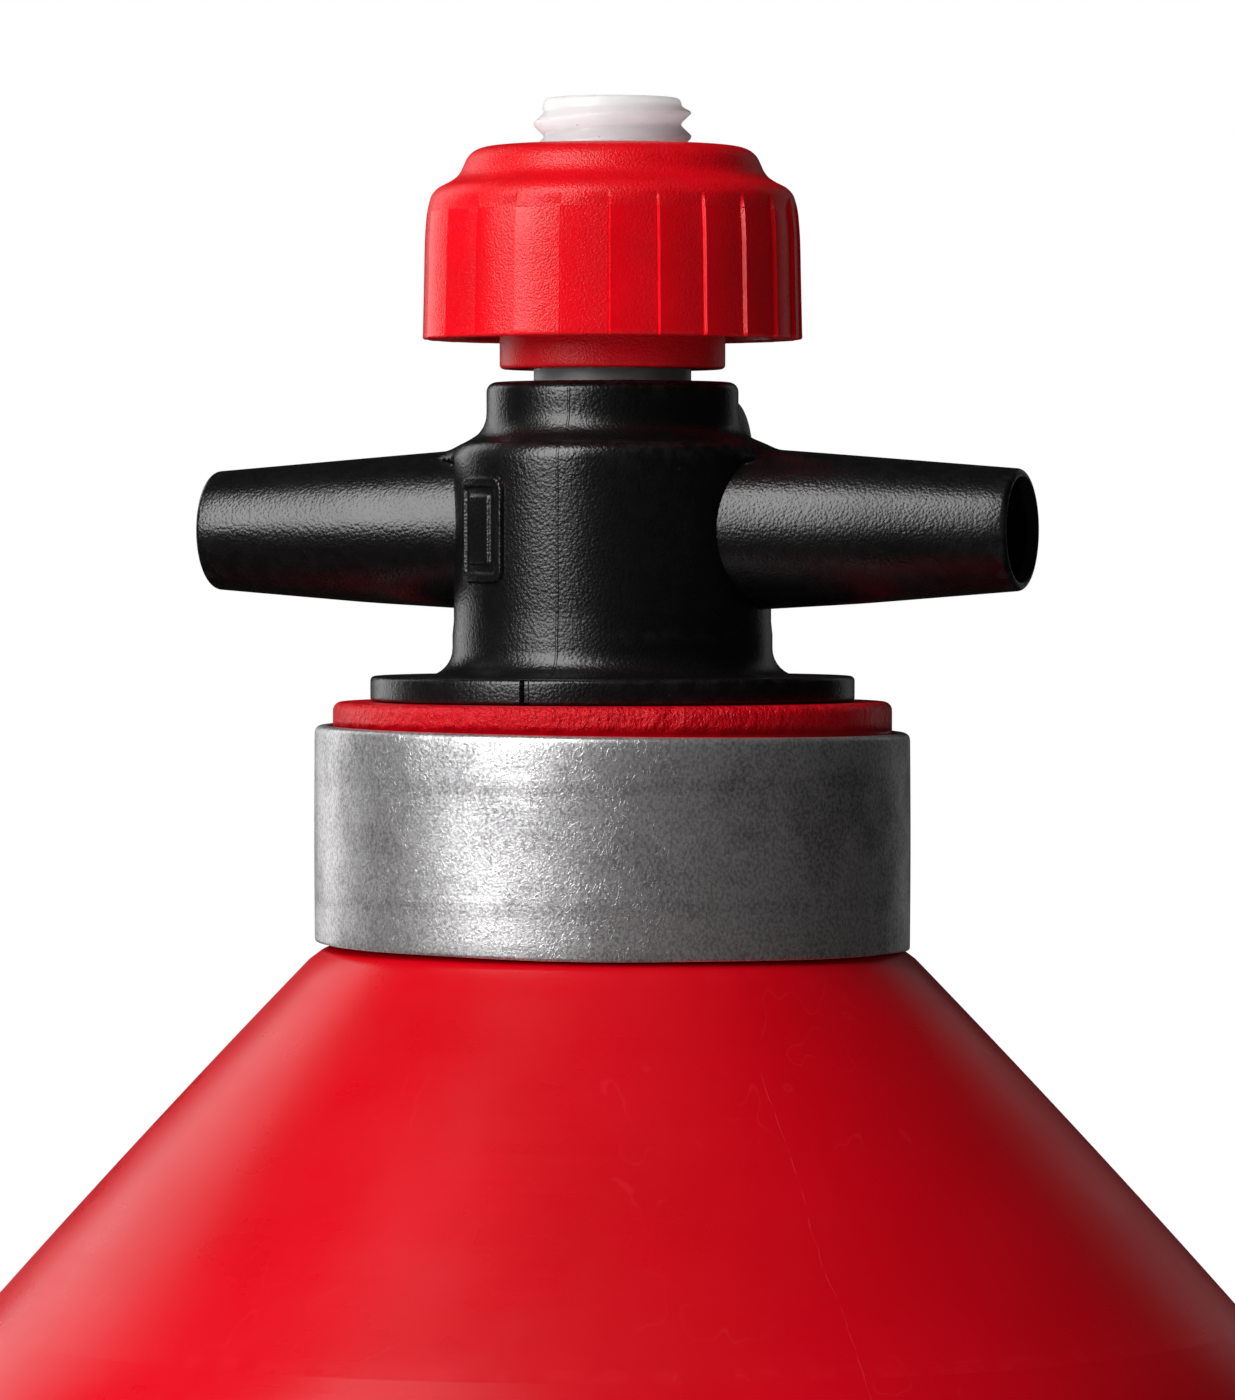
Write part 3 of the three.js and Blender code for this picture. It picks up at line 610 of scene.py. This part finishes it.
def collarSurface(s):
    # A thin ring whose top edge is rolled in. Each point at angle a is moved up by tilt * (-cos, sin) of a,
    # and the foot waves and the wall is dented by sums of cosines, as on a pressed band.
    inner, outer, low, high = s["inner"], s["outer"], s["low"], s["high"]
    corners = [(inner, low, 0.1), (outer, low, s["lowRound"]), (outer, high, s["topRound"]),
               (inner - s["rolledIn"], high, 0.1)]
    path = roundedPath(corners, closed=True, steps=7)
    path = spaced(np.vstack([path, path[:1]]), 0.7)[:-1]

    def waved(r, h, a):
        slant = -s["tilt"][0] * np.cos(a - viewAngle) + s["tilt"][1] * np.sin(a - viewAngle)
        wave = (1 - ramp(h, low, low + 4)) * (0.035 * np.cos(3 * a + 1) + 0.02 * np.cos(7 * a))
        dent = np.minimum(0.035 * np.cos(2 * a + 0.6) + 0.02 * np.cos(5 * a + 2), 0)
        belly = 0.03 * np.sin(np.pi * (h - low) / (high - low))
        return r + ramp(r, inner + 0.3, outer) * (dent + belly - 0.03), h + slant + wave

    return turned(path, evenAngles(s["around"]), waved)


def ringSection(s, steps=5):
    # A rectangle with rounded corners.
    inner, outer, low, high, edge = (s[key] for key in ("inner", "outer", "low", "high", "edge"))
    corners = [(inner, low, edge), (outer, low, edge), (outer, high, edge), (inner, high, edge)]
    return roundedPath(corners, closed=True, steps=steps)


def ringSurface(s):
    # The section turned round the axis.
    return turned(ringSection(s), evenAngles(s["around"]))


makePiece("neck_collar", [collarSurface(collarShape)], collarAluminium, "bottle")
makePiece("neck_gasket", [ringSurface(gasketShape)], sealRubber, "gasket")
print("bottle done")

# The valve housing: a turned body with a threaded plug, two arms, the lanyard eye and a raised pad.
housingShape = {
    "plugEnd": 148.15, "plugRoot": 9.65, "threadDepth": 0.72, "threadPitch": 2.5, "flange": 12.3,
    "flangeLow": 159.15, "flangeHigh": 160.4, "body": 8.06, "bodyFillet": 1.4, "shoulder": 172.0,
    "coveEnd": 172.75, "neck": 6.4, "top": 175.3, "stemHole": 4.3, "cavity": 6.5, "cavityLow": 152.1,
    "cavityHigh": 171.0, "plugBore": 8.6, "notchTurn": -90.7, "notchDepth": 0.3, "notchHalf": (0.5, 1.2),
    "step": 162.7, "stepRise": 0.07, "around": 160,
}
armShape = {
    "height": 167.8, "reach": 21.75, "tip": 3.05, "taper": 0.0786, "fillet": 1.15, "bore": 2.4,
    "boreEnd": 8.6,
    "sunk": 0.9, "fade": (0.5, 6), "around": 96,
}
eyeShape = {
    "reach": 12.9, "height": 171.5, "radius": 3.2, "hole": 1.6, "half": 2.1, "edge": 0.35, "rim": 1.6,
    "root": (5.9, 7.1), "around": 96,
}
padShape = {
    "turn": -125, "height": 167.8, "width": 3.6, "tall": 5.4, "rise": 0.25, "corner": 0.7, "margin": 0.15,
    "sunk": 0.35, "rimEdge": (-0.12, 0.02), "groove": (-0.62, -0.45), "panelEdge": (-1.05, -0.9),
}


def housingProfile(s):
    # The outline of the turned body: up the outside from the plug to the top, then down the bore.
    outside = [(s["plugBore"], s["plugEnd"], 0.15), (s["plugRoot"], s["plugEnd"], 0.3),
               (s["plugRoot"], s["flangeLow"], 0.25), (s["flange"], s["flangeLow"], 0.16),
               (s["flange"], s["flangeHigh"], 0.24), (s["body"], s["flangeHigh"], s["bodyFillet"]),
               (s["body"], s["shoulder"], 0.95), (s["neck"], s["coveEnd"], 1.5), (s["neck"], s["top"], 0.5),
               (s["stemHole"], s["top"], 0.2)]
    inside = [(s["stemHole"], s["cavityHigh"], 0.1), (s["cavity"], s["cavityHigh"], 0.3),
              (s["cavity"], s["cavityLow"], 0.1), (s["plugBore"], s["cavityLow"], 0.1)]
    return roundedPath(outside + inside, closed=True, steps=9)


def housingSurface(s):
    # The profile turned round the axis. On the plug r grows by depth * wave, at the notch it shrinks by the
    # notch's depth, and below the step it grows by the step's rise.
    path = housingProfile(s)
    path = spaced(np.vstack([path, path[:1]]), lambda h: np.where(h < s["flangeLow"], 0.15, 0.7))[:-1]
    notch = math.radians(s["notchTurn"])
    nearNotch = (notch + np.radians(np.arange(-3, 3.1, 0.35))) % (2 * np.pi)
    angles = np.unique(np.r_[evenAngles(s["around"]), nearNotch])
    low, high = s["flangeLow"], s["flangeHigh"]

    def detailed(r, h, a):
        plug = (r > s["plugRoot"] - 0.02) & (h < low - 0.3)
        fade = ramp(h, s["plugEnd"] + 0.5, s["plugEnd"] + 1.8) * (1 - ramp(h, low - 2.2, low - 1.4))
        r = r + plug * fade * s["threadDepth"] * threadWave(h, a, s["threadPitch"], 1.25)
        turn = (a - notch + np.pi) % (2 * np.pi) - np.pi
        cut = 1 - ramp(np.abs(turn), *np.radians(s["notchHalf"]))
        cut = cut * ramp(r, s["flange"] - 0.5, s["flange"] - 0.2)
        r = r - s["notchDepth"] * cut * (h > low - 0.01) * (h < high + 0.01)
        body = (r > s["body"] - 0.3) & (h > high)
        return r + body * s["stepRise"] * (1 - ramp(h, s["step"] - 0.05, s["step"] + 0.05)), h

    return turned(path, angles, detailed)


def armSurface(s, h, side):
    # A tapering tube along X: y = r cos t, z = r sin t. Near the body its radius grows by
    # q (1 - sqrt(1 - (1 - d/q)^2)) at distance d, and x follows the body's own surface, sqrt(R(z)^2 - y^2).
    start, q, reach, bore = h["body"], s["fillet"], s["reach"], s["bore"]
    d = q * (1 - np.cos(np.linspace(0, np.pi / 2, 9)))
    flare = q * (1 - np.sqrt(np.clip(1 - (1 - d / q) ** 2, 0, 1)))
    foot = np.stack([start + d, s["tip"] + (reach - start - d) * s["taper"] + flare], -1)
    shaft = np.linspace(start + q, reach - 1, 24)[1:]
    shaft = np.stack([shaft, s["tip"] + (reach - shaft) * s["taper"]], -1)
    tip = [(*shaft[-1], 0), (reach, s["tip"], 0.3), (reach, bore + 0.28, 0.12), (reach - 0.5, bore, 0.2),
           (s["boreEnd"], bore - 0.12, 0), (s["boreEnd"], 0, 0)]
    root = start - s["sunk"]
    path = np.vstack([[(root, 0)], [(root, foot[0, 1])], foot, shaft, roundedPath(tip, steps=7)[1:]])
    along = np.repeat(path[:, :1], s["around"], 1)
    t = evenAngles(s["around"])[None, :]
    y, z = path[:, 1:] * np.cos(t), path[:, 1:] * np.sin(t) + s["height"]
    profile = housingProfile(h)
    outer = profile[(profile[:, 1] > h["flangeHigh"] + 2) & (profile[:, 0] > h["neck"] - 0.01)]
    outer = outer[np.argsort(outer[:, 1])]
    bodyRadius = np.interp(z, outer[:, 1], outer[:, 0])
    shift = np.sqrt(np.maximum(bodyRadius**2 - y**2, 4)) - start
    outside = (np.arange(len(path)) < 2 + len(foot) + len(shaft))[:, None]
    near, far = s["fade"]
    shift = shift * (1 - ramp(along, start + near, start + far)) * outside
    return gridShell(np.stack([side * (along + shift), y, z], -1))


def eyeSurface(s):
    # A flat lug with a hole. At angle t round the hole a rounded oblong section runs from the hole's radius
    # to the outline's: a circle in front, and the smaller of root / -cos t and radius / |sin t| behind.
    t, half, edge, rim = evenAngles(s["around"]), s["half"], s["edge"], s["rim"]
    root = s["reach"] - np.where(np.sin(t) > -0.1, *s["root"])
    straight = np.minimum(root / np.maximum(-np.cos(t), 1e-3),
                          s["radius"] / np.maximum(np.abs(np.sin(t)), 1e-3))
    outline = np.where(np.cos(t) < 0, straight, s["radius"])
    section = roundedPath([(0, -half, edge), (rim, -half, edge), (rim, half, edge), (0, half, edge)], True)
    r = s["hole"] + np.outer(outline - s["hole"], section[:, 0] / rim)
    x = np.repeat(section[None, :, 1], len(t), 0)
    grid = np.stack([x, s["reach"] + r * np.cos(t)[:, None], s["height"] + r * np.sin(t)[:, None]], -1)
    return gridShell(grid, closedAlong=True)


def padSurface(s, bodyRadius):
    # A low oblong panel inside a groove and a raised rim, bent round the body: angle = turn + x / R. Its
    # height goes by the distance from a rounded oblong, and at its border the outside meets the inside.
    u, v = np.meshgrid(np.linspace(-1, 1, 64), np.linspace(-1, 1, 84))
    px, pz = u * (s["width"] / 2 + s["margin"]), v * (s["tall"] / 2 + s["margin"])
    qx, qz = np.abs(px) - s["width"] / 2 + s["corner"], np.abs(pz) - s["tall"] / 2 + s["corner"]
    gap = np.hypot(np.maximum(qx, 0), np.maximum(qz, 0)) + np.minimum(np.maximum(qx, qz), 0) - s["corner"]
    rim = (1 - ramp(gap, *s["rimEdge"])) * (0.45 + 0.55 * ramp(gap, *s["groove"]))
    panel = 0.5 * (1 - ramp(gap, *s["panelEdge"]))
    lift = (rim + panel) * s["rise"] * (1 - 0.1 * panel) - 0.03
    border = (np.abs(u) < 1) & (np.abs(v) < 1)
    turn = math.radians(s["turn"]) + px / bodyRadius
    front, behind = bodyRadius + np.where(border, lift, -s["sunk"]), bodyRadius - s["sunk"] + 0 * u
    sheets = [np.stack([r * np.cos(turn), r * np.sin(turn), s["height"] + pz], -1) for r in (front, behind)]
    (over, overQuads), (under, underQuads) = (gridShell(sheet, closedAround=False) for sheet in sheets)
    return np.concatenate([over, under]), np.concatenate([overQuads, underQuads[:, ::-1] + u.size])


housing = [housingSurface(housingShape), armSurface(armShape, housingShape, 1),
           armSurface(armShape, housingShape, -1), eyeSurface(eyeShape),
           padSurface(padShape, housingShape["body"])]
makePiece("valve_housing", housing, housingBlack, "housing")

# The seat ring in the plug's bore, and the spring that stands on it.
seatShape = {
    "corners": [(3.6, 149.45, 0.1), (4.6, 149.45, 0.2), (4.9, 150.05, 0.15), (8.45, 150.05, 0.2),
                (8.45, 152.05, 0.2),
                (3.6, 152.05, 0.3)],
    "around": 96,
}
springShape = {
    "radius": 4.7, "wire": 0.29, "low": 152.1, "high": 163.1, "turns": 6, "steps": 60, "flat": 0.07,
    "easing": 0.175, "close": 3, "around": 14,
}


def springSurface(s):
    # A wire on a helix of angle w = 2 pi turns t. Its height is low + (high - low) * g, where e is t without
    # the flat ends and g = e + easing * sin(2 pi e) / (2 pi). The wire's radius closes to 0 at both ends.
    t = np.linspace(0, 1, s["turns"] * s["steps"])
    w = 2 * np.pi * s["turns"] * t
    e = np.clip((t - s["flat"]) / (1 - 2 * s["flat"]), 0, 1)
    g = e + s["easing"] * np.sin(2 * np.pi * e) / (2 * np.pi)
    low, high = s["low"] + s["wire"] + 0.01, s["high"] - s["wire"] - 0.01
    centre = np.stack([s["radius"] * np.cos(w), s["radius"] * np.sin(w), low + (high - low) * g], -1)
    out = np.stack([np.cos(w), np.sin(w), np.zeros_like(w)], -1)
    toEnd = np.minimum(np.arange(len(t)), np.arange(len(t))[::-1])
    wire = s["wire"] * np.sqrt(1 - (1 - np.minimum(toEnd / s["close"], 1)) ** 2)
    ring = evenAngles(s["around"])[None, :, None]
    section = np.cos(ring) * out[:, None] + np.sin(ring) * np.array([0, 0, 1.0])
    return gridShell(centre[:, None] + wire[:, None, None] * section)


seat = turned(roundedPath(seatShape["corners"], closed=True), evenAngles(seatShape["around"]))
makePiece("valve_seat", [seat], housingBlack, "housing")
spring = makePiece("return_spring", [springSurface(springShape)], springSteel, "housing", 80)
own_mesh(spring)
print("housing done")

# The spindle and what it carries: stem seal, valve disc, washer and retaining clip.
spindleShape = {
    "radius": 4.0, "root": 3.5, "pitch": 1.25, "threadLow": 176.7, "top": 189.7, "crest": 189.0,
    "around": 112,
    "corners": [(0, 145.65, 0), (1.9, 145.65, 0.3), (1.9, 146.45, 0.05), (1.4, 146.45, 0.05),
                (1.4, 147.05, 0.05),
                (1.9, 147.05, 0.05), (1.9, 149.45, 0.1), (2.75, 149.45, 0.15), (2.75, 150.35, 0.15),
                (2.6, 150.35, 0.05), (2.6, 163.15, 0.2), (5.0, 163.15, 0.2), (5.0, 164.55, 0.25),
                (4.0, 164.55, 0.2), (4.0, 172.2, 0.1), (2.9, 172.2, 0.15), (2.9, 173.8, 0.15),
                (4.0, 173.8, 0.1),
                (4.0, 176.5, 0.2), (3.5, 176.9, 0.15), (3.5, 189.7, 0.3), (0, 189.7, 0)],
}
sealShape = {"ring": 3.6, "section": 0.65, "height": 173.0}
discShape = {"inner": 2.05, "outer": 5.6, "low": 147.8, "high": 149.4, "edge": 0.25, "around": 96}
washerShape = {"inner": 2.05, "outer": 4.0, "low": 147.05, "high": 147.75, "edge": 0.12, "around": 96}
clipShape = {"inner": 1.55, "outer": 3.2, "low": 146.5, "high": 147.0, "mouth": 50, "edge": 0.12}


def spindleSurface(s):
    # The profile turned round the axis; above threadLow, r = root + (radius - root) * wave.
    path = spaced(roundedPath(s["corners"]), lambda h: np.where(h > s["threadLow"], 0.09, 0.8))

    def threaded(r, h, a):
        side = (np.abs(r - s["root"]) < 0.02) & (h > s["threadLow"])
        fade = ramp(h, s["threadLow"], s["threadLow"] + 1) * (1 - ramp(h, s["top"] - 0.75, s["top"] - 0.3))
        wave = threadWave(h, a, s["pitch"], s["crest"] - s["pitch"] * viewAngle / (2 * np.pi), 0.12)
        return r + side * fade * (s["radius"] - s["root"]) * wave, h

    return turned(path, evenAngles(s["around"]), threaded, closed=False)


def sealSurface(s):
    # A torus: r = R + q cos t, z = h + q sin t.
    t = evenAngles(24)
    circle = np.stack([s["ring"] + s["section"] * np.cos(t), s["height"] + s["section"] * np.sin(t)], -1)
    return turned(circle, evenAngles(80))


def clipSurface(s):
    # A rounded oblong section carried round the axis from one side of the mouth to the other; at each end it
    # closes to its own middle.
    turn = np.radians(np.r_[s["mouth"], np.linspace(s["mouth"], 360 - s["mouth"], 72), 360 - s["mouth"]])
    section = ringSection(s, 4)
    r, h = np.repeat(section[None, :, 0], len(turn), 0), np.repeat(section[None, :, 1], len(turn), 0)
    r[[0, -1]], h[[0, -1]] = section.mean(0)
    return gridShell(np.stack([r * np.cos(turn)[:, None], r * np.sin(turn)[:, None], h], -1))


makePiece("valve_spindle", [spindleSurface(spindleShape)], spindleWhite, "spindle")
makePiece("stem_seal", [sealSurface(sealShape)], sealRubber, "plunger", 80)
makePiece("valve_disc", [ringSurface(discShape)], sealRubber, "plunger")
makePiece("disc_washer", [ringSurface(washerShape)], springSteel, "plunger")
makePiece("retaining_clip", [clipSurface(clipShape)], springSteel, "plunger")

# The control knob: hub, fluted skirt and crown in one turned piece.
knobShape = {
    "hub": (5.73, 175.96), "hubEdge": 0.22, "skirt": (9.65, 177.46), "wall": 1.45, "recess": 182.86,
    "bore": 4.12,
    "flutes": 24, "depth": 0.2, "step": 0.04, "edgeTurn": -71.2, "fluteTop": (183.9, 184.7),
    "crownTop": 187.26,
    "crown": [(9.63, 177.8), (9.57, 180.5), (9.53, 182.4), (9.46, 183.5), (9.40, 184.0), (9.31, 184.4),
              (9.16, 184.8), (8.84, 185.14), (8.35, 185.4), (7.95, 185.66), (7.70, 185.97), (7.52, 186.36),
              (7.33, 186.72), (7.0, 187.02), (6.5, 187.2), (5.8, 187.26)],
    # where a flute is cut into columns, closest together at its step
    "columns": [0, 0.01, 0.03, 0.04, 0.06, 0.12, 0.25, 0.4, 0.55, 0.7, 0.85, 0.95, 0.985],
}


def knobSurface(s):
    # The profile turned round the axis. On the skirt, with t running 0 to 1 across a flute, the radius climbs
    # depth over the first step of t and falls back evenly over the rest.
    (skirtR, skirtZ), (hubR, hubZ) = s["skirt"], s["hub"]
    under = skirtR - s["wall"]
    lower = roundedPath([(s["bore"], hubZ, 0.15), (hubR, hubZ, s["hubEdge"]), (hubR, s["recess"], 0.4),
                         (under, s["recess"], 0.4), (under, skirtZ, 0.15), (skirtR, skirtZ, 0.14),
                         (*s["crown"][0], 0)])[1:-1]
    top = [(*s["crown"][-1], 0), (s["bore"], s["crownTop"], 0.18), (s["bore"], hubZ, 0)]
    path = np.vstack([lower, smoothPath(s["crown"]), roundedPath(top, steps=5)[1:]])
    path = spaced(np.vstack([path, path[:1]]), 0.6)[:-1]
    pitch, first = 2 * np.pi / s["flutes"], math.radians(s["edgeTurn"])
    angles = (first + (np.arange(s["flutes"])[:, None] + np.array(s["columns"])) * pitch).ravel()

    def fluted(r, h, a):
        t = ((a - first) / pitch + 1e-9) % 1
        tooth = np.where(t < s["step"], t / s["step"], 1 - (t - s["step"]) / (1 - s["step"]))
        skirt = (r > under + 0.5) * (1 - ramp(h, *s["fluteTop"]))
        return r - skirt * s["depth"] * (1 - tooth), h

    return turned(path, angles, fluted)


def markFlutes(mesh, s):
    # How far across its flute each skirt vertex lies: 0 just past a step, 1 before the next; 1 off the skirt.
    co = np.empty(len(mesh.vertices) * 3)
    mesh.vertices.foreach_get("co", co)
    x, y, z = co.reshape(-1, 3).T / mm
    t = ((np.degrees(np.arctan2(y, x)) - s["edgeTurn"]) * s["flutes"] / 360 + 1e-4) % 1
    onSkirt = (np.hypot(x, y) > 8.7) & (z < s["fluteTop"][0])
    layer = mesh.attributes.new("flute", "FLOAT", "POINT")
    layer.data.foreach_set("value", np.where(onSkirt, t, 1.0))


knob = makePiece("control_knob", [knobSurface(knobShape)], knobRed, "knob", 30)
markFlutes(knob.data, knobShape)
print("valve done")

# The floor, the light and the camera.
studio = {
    "floorBack": 0.95, "floorWide": 3.0, "paper": (0.80, 0.80, 0.80, 1), "palePaper": (0.86, 0.86, 0.86, 1),
    # how much light of its own the paper shows, and where it turns white
    "glow": 0.6, "fade": (0.35, 0.85),
    # strength of the surroundings as light, and as seen in gloss
    "ambient": 0.09, "reflected": 0.012,
    # name, turn from the camera to the left in degrees, distance, height, width, tall, power, and whether
    # it is seen in gloss
    "lights": [
        ("keyLight", 48, 0.50, 0.475, 0.34, 0.62, 5.7, True),
        ("backLeftLight", 138, 0.58, 0.30, 0.30, 0.50, 0.70, True),
        ("backRightLight", -150, 0.60, 0.22, 0.18, 0.45, 0.05, True),
        ("topLight", 50, 0.12, 0.75, 0.50, 0.50, 0.4, False),
    ],
    "middle": (0, 0, 0.155),                 # what every light is aimed at
}
cameraSetup = {
    "distance": 0.397, "height": 0.16685, "aimHeight": 0.15917, "aside": 0.000254, "lens": 200.96,
    "sensor": 36,
    "clip": (0.01, 20),
}


def towards(turn):
    # Unit direction in plan, turned left of the camera's own by this many degrees.
    a = viewAngle - math.radians(turn)
    return np.array([math.sin(a), -math.cos(a), 0.0])


def aim(thing, place, target):
    # Puts the thing at a place, with its -Z axis towards the target.
    thing.location = place
    thing.rotation_euler = (Vector(target) - Vector(place)).to_track_quat("-Z", "Y").to_euler()


def addLight(name, turn, distance, height, width, tall, power, inGloss):
    # A rectangular lamp, aimed at the middle of what the camera sees.
    light = bpy.data.lights.new(name, "AREA")
    light.shape, light.size, light.size_y, light.energy = "RECTANGLE", width, tall, power
    lamp = addObject(name, light)
    lamp.visible_glossy = inGloss
    aim(lamp, tuple(towards(turn) * distance + (0, 0, height)), studio["middle"])


def floorSurface(back, wide):
    # A flat grid just under z = 0, square to the camera: p = u * across + v * towards(0), with u from -wide
    # to wide and v from -back to wide.
    u, v = np.meshgrid(np.linspace(-wide, wide, 9), np.linspace(-back, wide, 9), indexing="ij")
    return gridShell(u[..., None] * towards(90) + v[..., None] * towards(0) - (0, 0, 0.0002),
                     closedAround=False)


def floorMaterial(s):
    # Pale paper. The camera alone sees some light of its own on it, which goes over into the white behind it
    # with the distance from the object, and sees through it from below, so that the base can be looked at.
    material, tree, place = newMaterial("floorPaper")
    tone = mixColour(tree, noiseNode(tree, place, 9.0, 4.0), s["paper"], s["palePaper"])
    roughness = rampNode(tree, noiseNode(tree, place, 60.0), 0.3, 0.7, 0.6, 0.7)
    finishMaterial(material, tone, roughness, [(noiseNode(tree, place, 900.0), 0.0001, 0.1)])
    toCamera = addNode(tree, "LightPath").outputs["Is Camera Ray"]
    distance = addNode(tree, "VectorMath", {0: place}, operation="LENGTH").outputs["Value"]
    glow = times(tree, toCamera, rampNode(tree, distance, *s["fade"], s["glow"], 1.0))
    plain = tree.nodes["Principled BSDF"].outputs[0]
    lit = addNode(tree, "Emission", {"Color": (1, 1, 1, 1)}).outputs[0]
    paper = addNode(tree, "MixShader", {0: glow, 1: plain, 2: lit}).outputs[0]
    facing = addNode(tree, "NewGeometry").outputs["Backfacing"]
    below = times(tree, facing, toCamera)
    clear = addNode(tree, "BsdfTransparent").outputs[0]
    surface = addNode(tree, "MixShader", {0: below, 1: paper, 2: clear}).outputs[0]
    tree.links.new(surface, tree.nodes["Material Output"].inputs["Surface"])
    return material


def buildFloor(s):
    points, quads = floorSurface(s["floorBack"], s["floorWide"])
    mesh = bpy.data.meshes.new("floor")
    mesh.from_pydata(points.tolist(), [], quads.tolist())
    mesh.materials.append(floorMaterial(s))
    floor = addObject("floor", mesh)
    floor.visible_glossy = False


def buildSurroundings(s):
    # White for the camera, dim as light and dimmer still in gloss.
    world = bpy.data.worlds.new("studioWorld")
    bpy.context.scene.world = world
    world.use_nodes = True
    tree = world.node_tree
    strengths = (s["ambient"], s["reflected"], 1.0)
    looks = [addNode(tree, "Background", {"Color": (1, 1, 1, 1), "Strength": power}) for power in strengths]
    dim, dark, white = (look.outputs[0] for look in looks)
    ray = addNode(tree, "LightPath").outputs
    unseen = addNode(tree, "MixShader", {0: ray["Is Glossy Ray"], 1: dim, 2: dark}).outputs[0]
    mixed = addNode(tree, "MixShader", {0: ray["Is Camera Ray"], 1: unseen, 2: white}).outputs[0]
    tree.links.new(mixed, tree.nodes["World Output"].inputs["Surface"])


def buildCamera(c):
    # A long lens a little above the valve, looking slightly down.
    camera = bpy.data.cameras.new("camera")
    camera.lens, camera.sensor_width = c["lens"], c["sensor"]
    camera.clip_start, camera.clip_end = c["clip"]
    holder = addObject("camera", camera)
    aside = towards(-90) * c["aside"]
    place = towards(0) * c["distance"] + aside + (0, 0, c["height"])
    aim(holder, tuple(place), (aside[0], aside[1], c["aimHeight"]))
    bpy.context.scene.camera = holder


buildFloor(studio)
buildSurroundings(studio)
for settings in studio["lights"]:
    addLight(*settings)
buildCamera(cameraSetup)
bpy.context.scene.view_settings.view_transform = "Standard"
print("studio done")
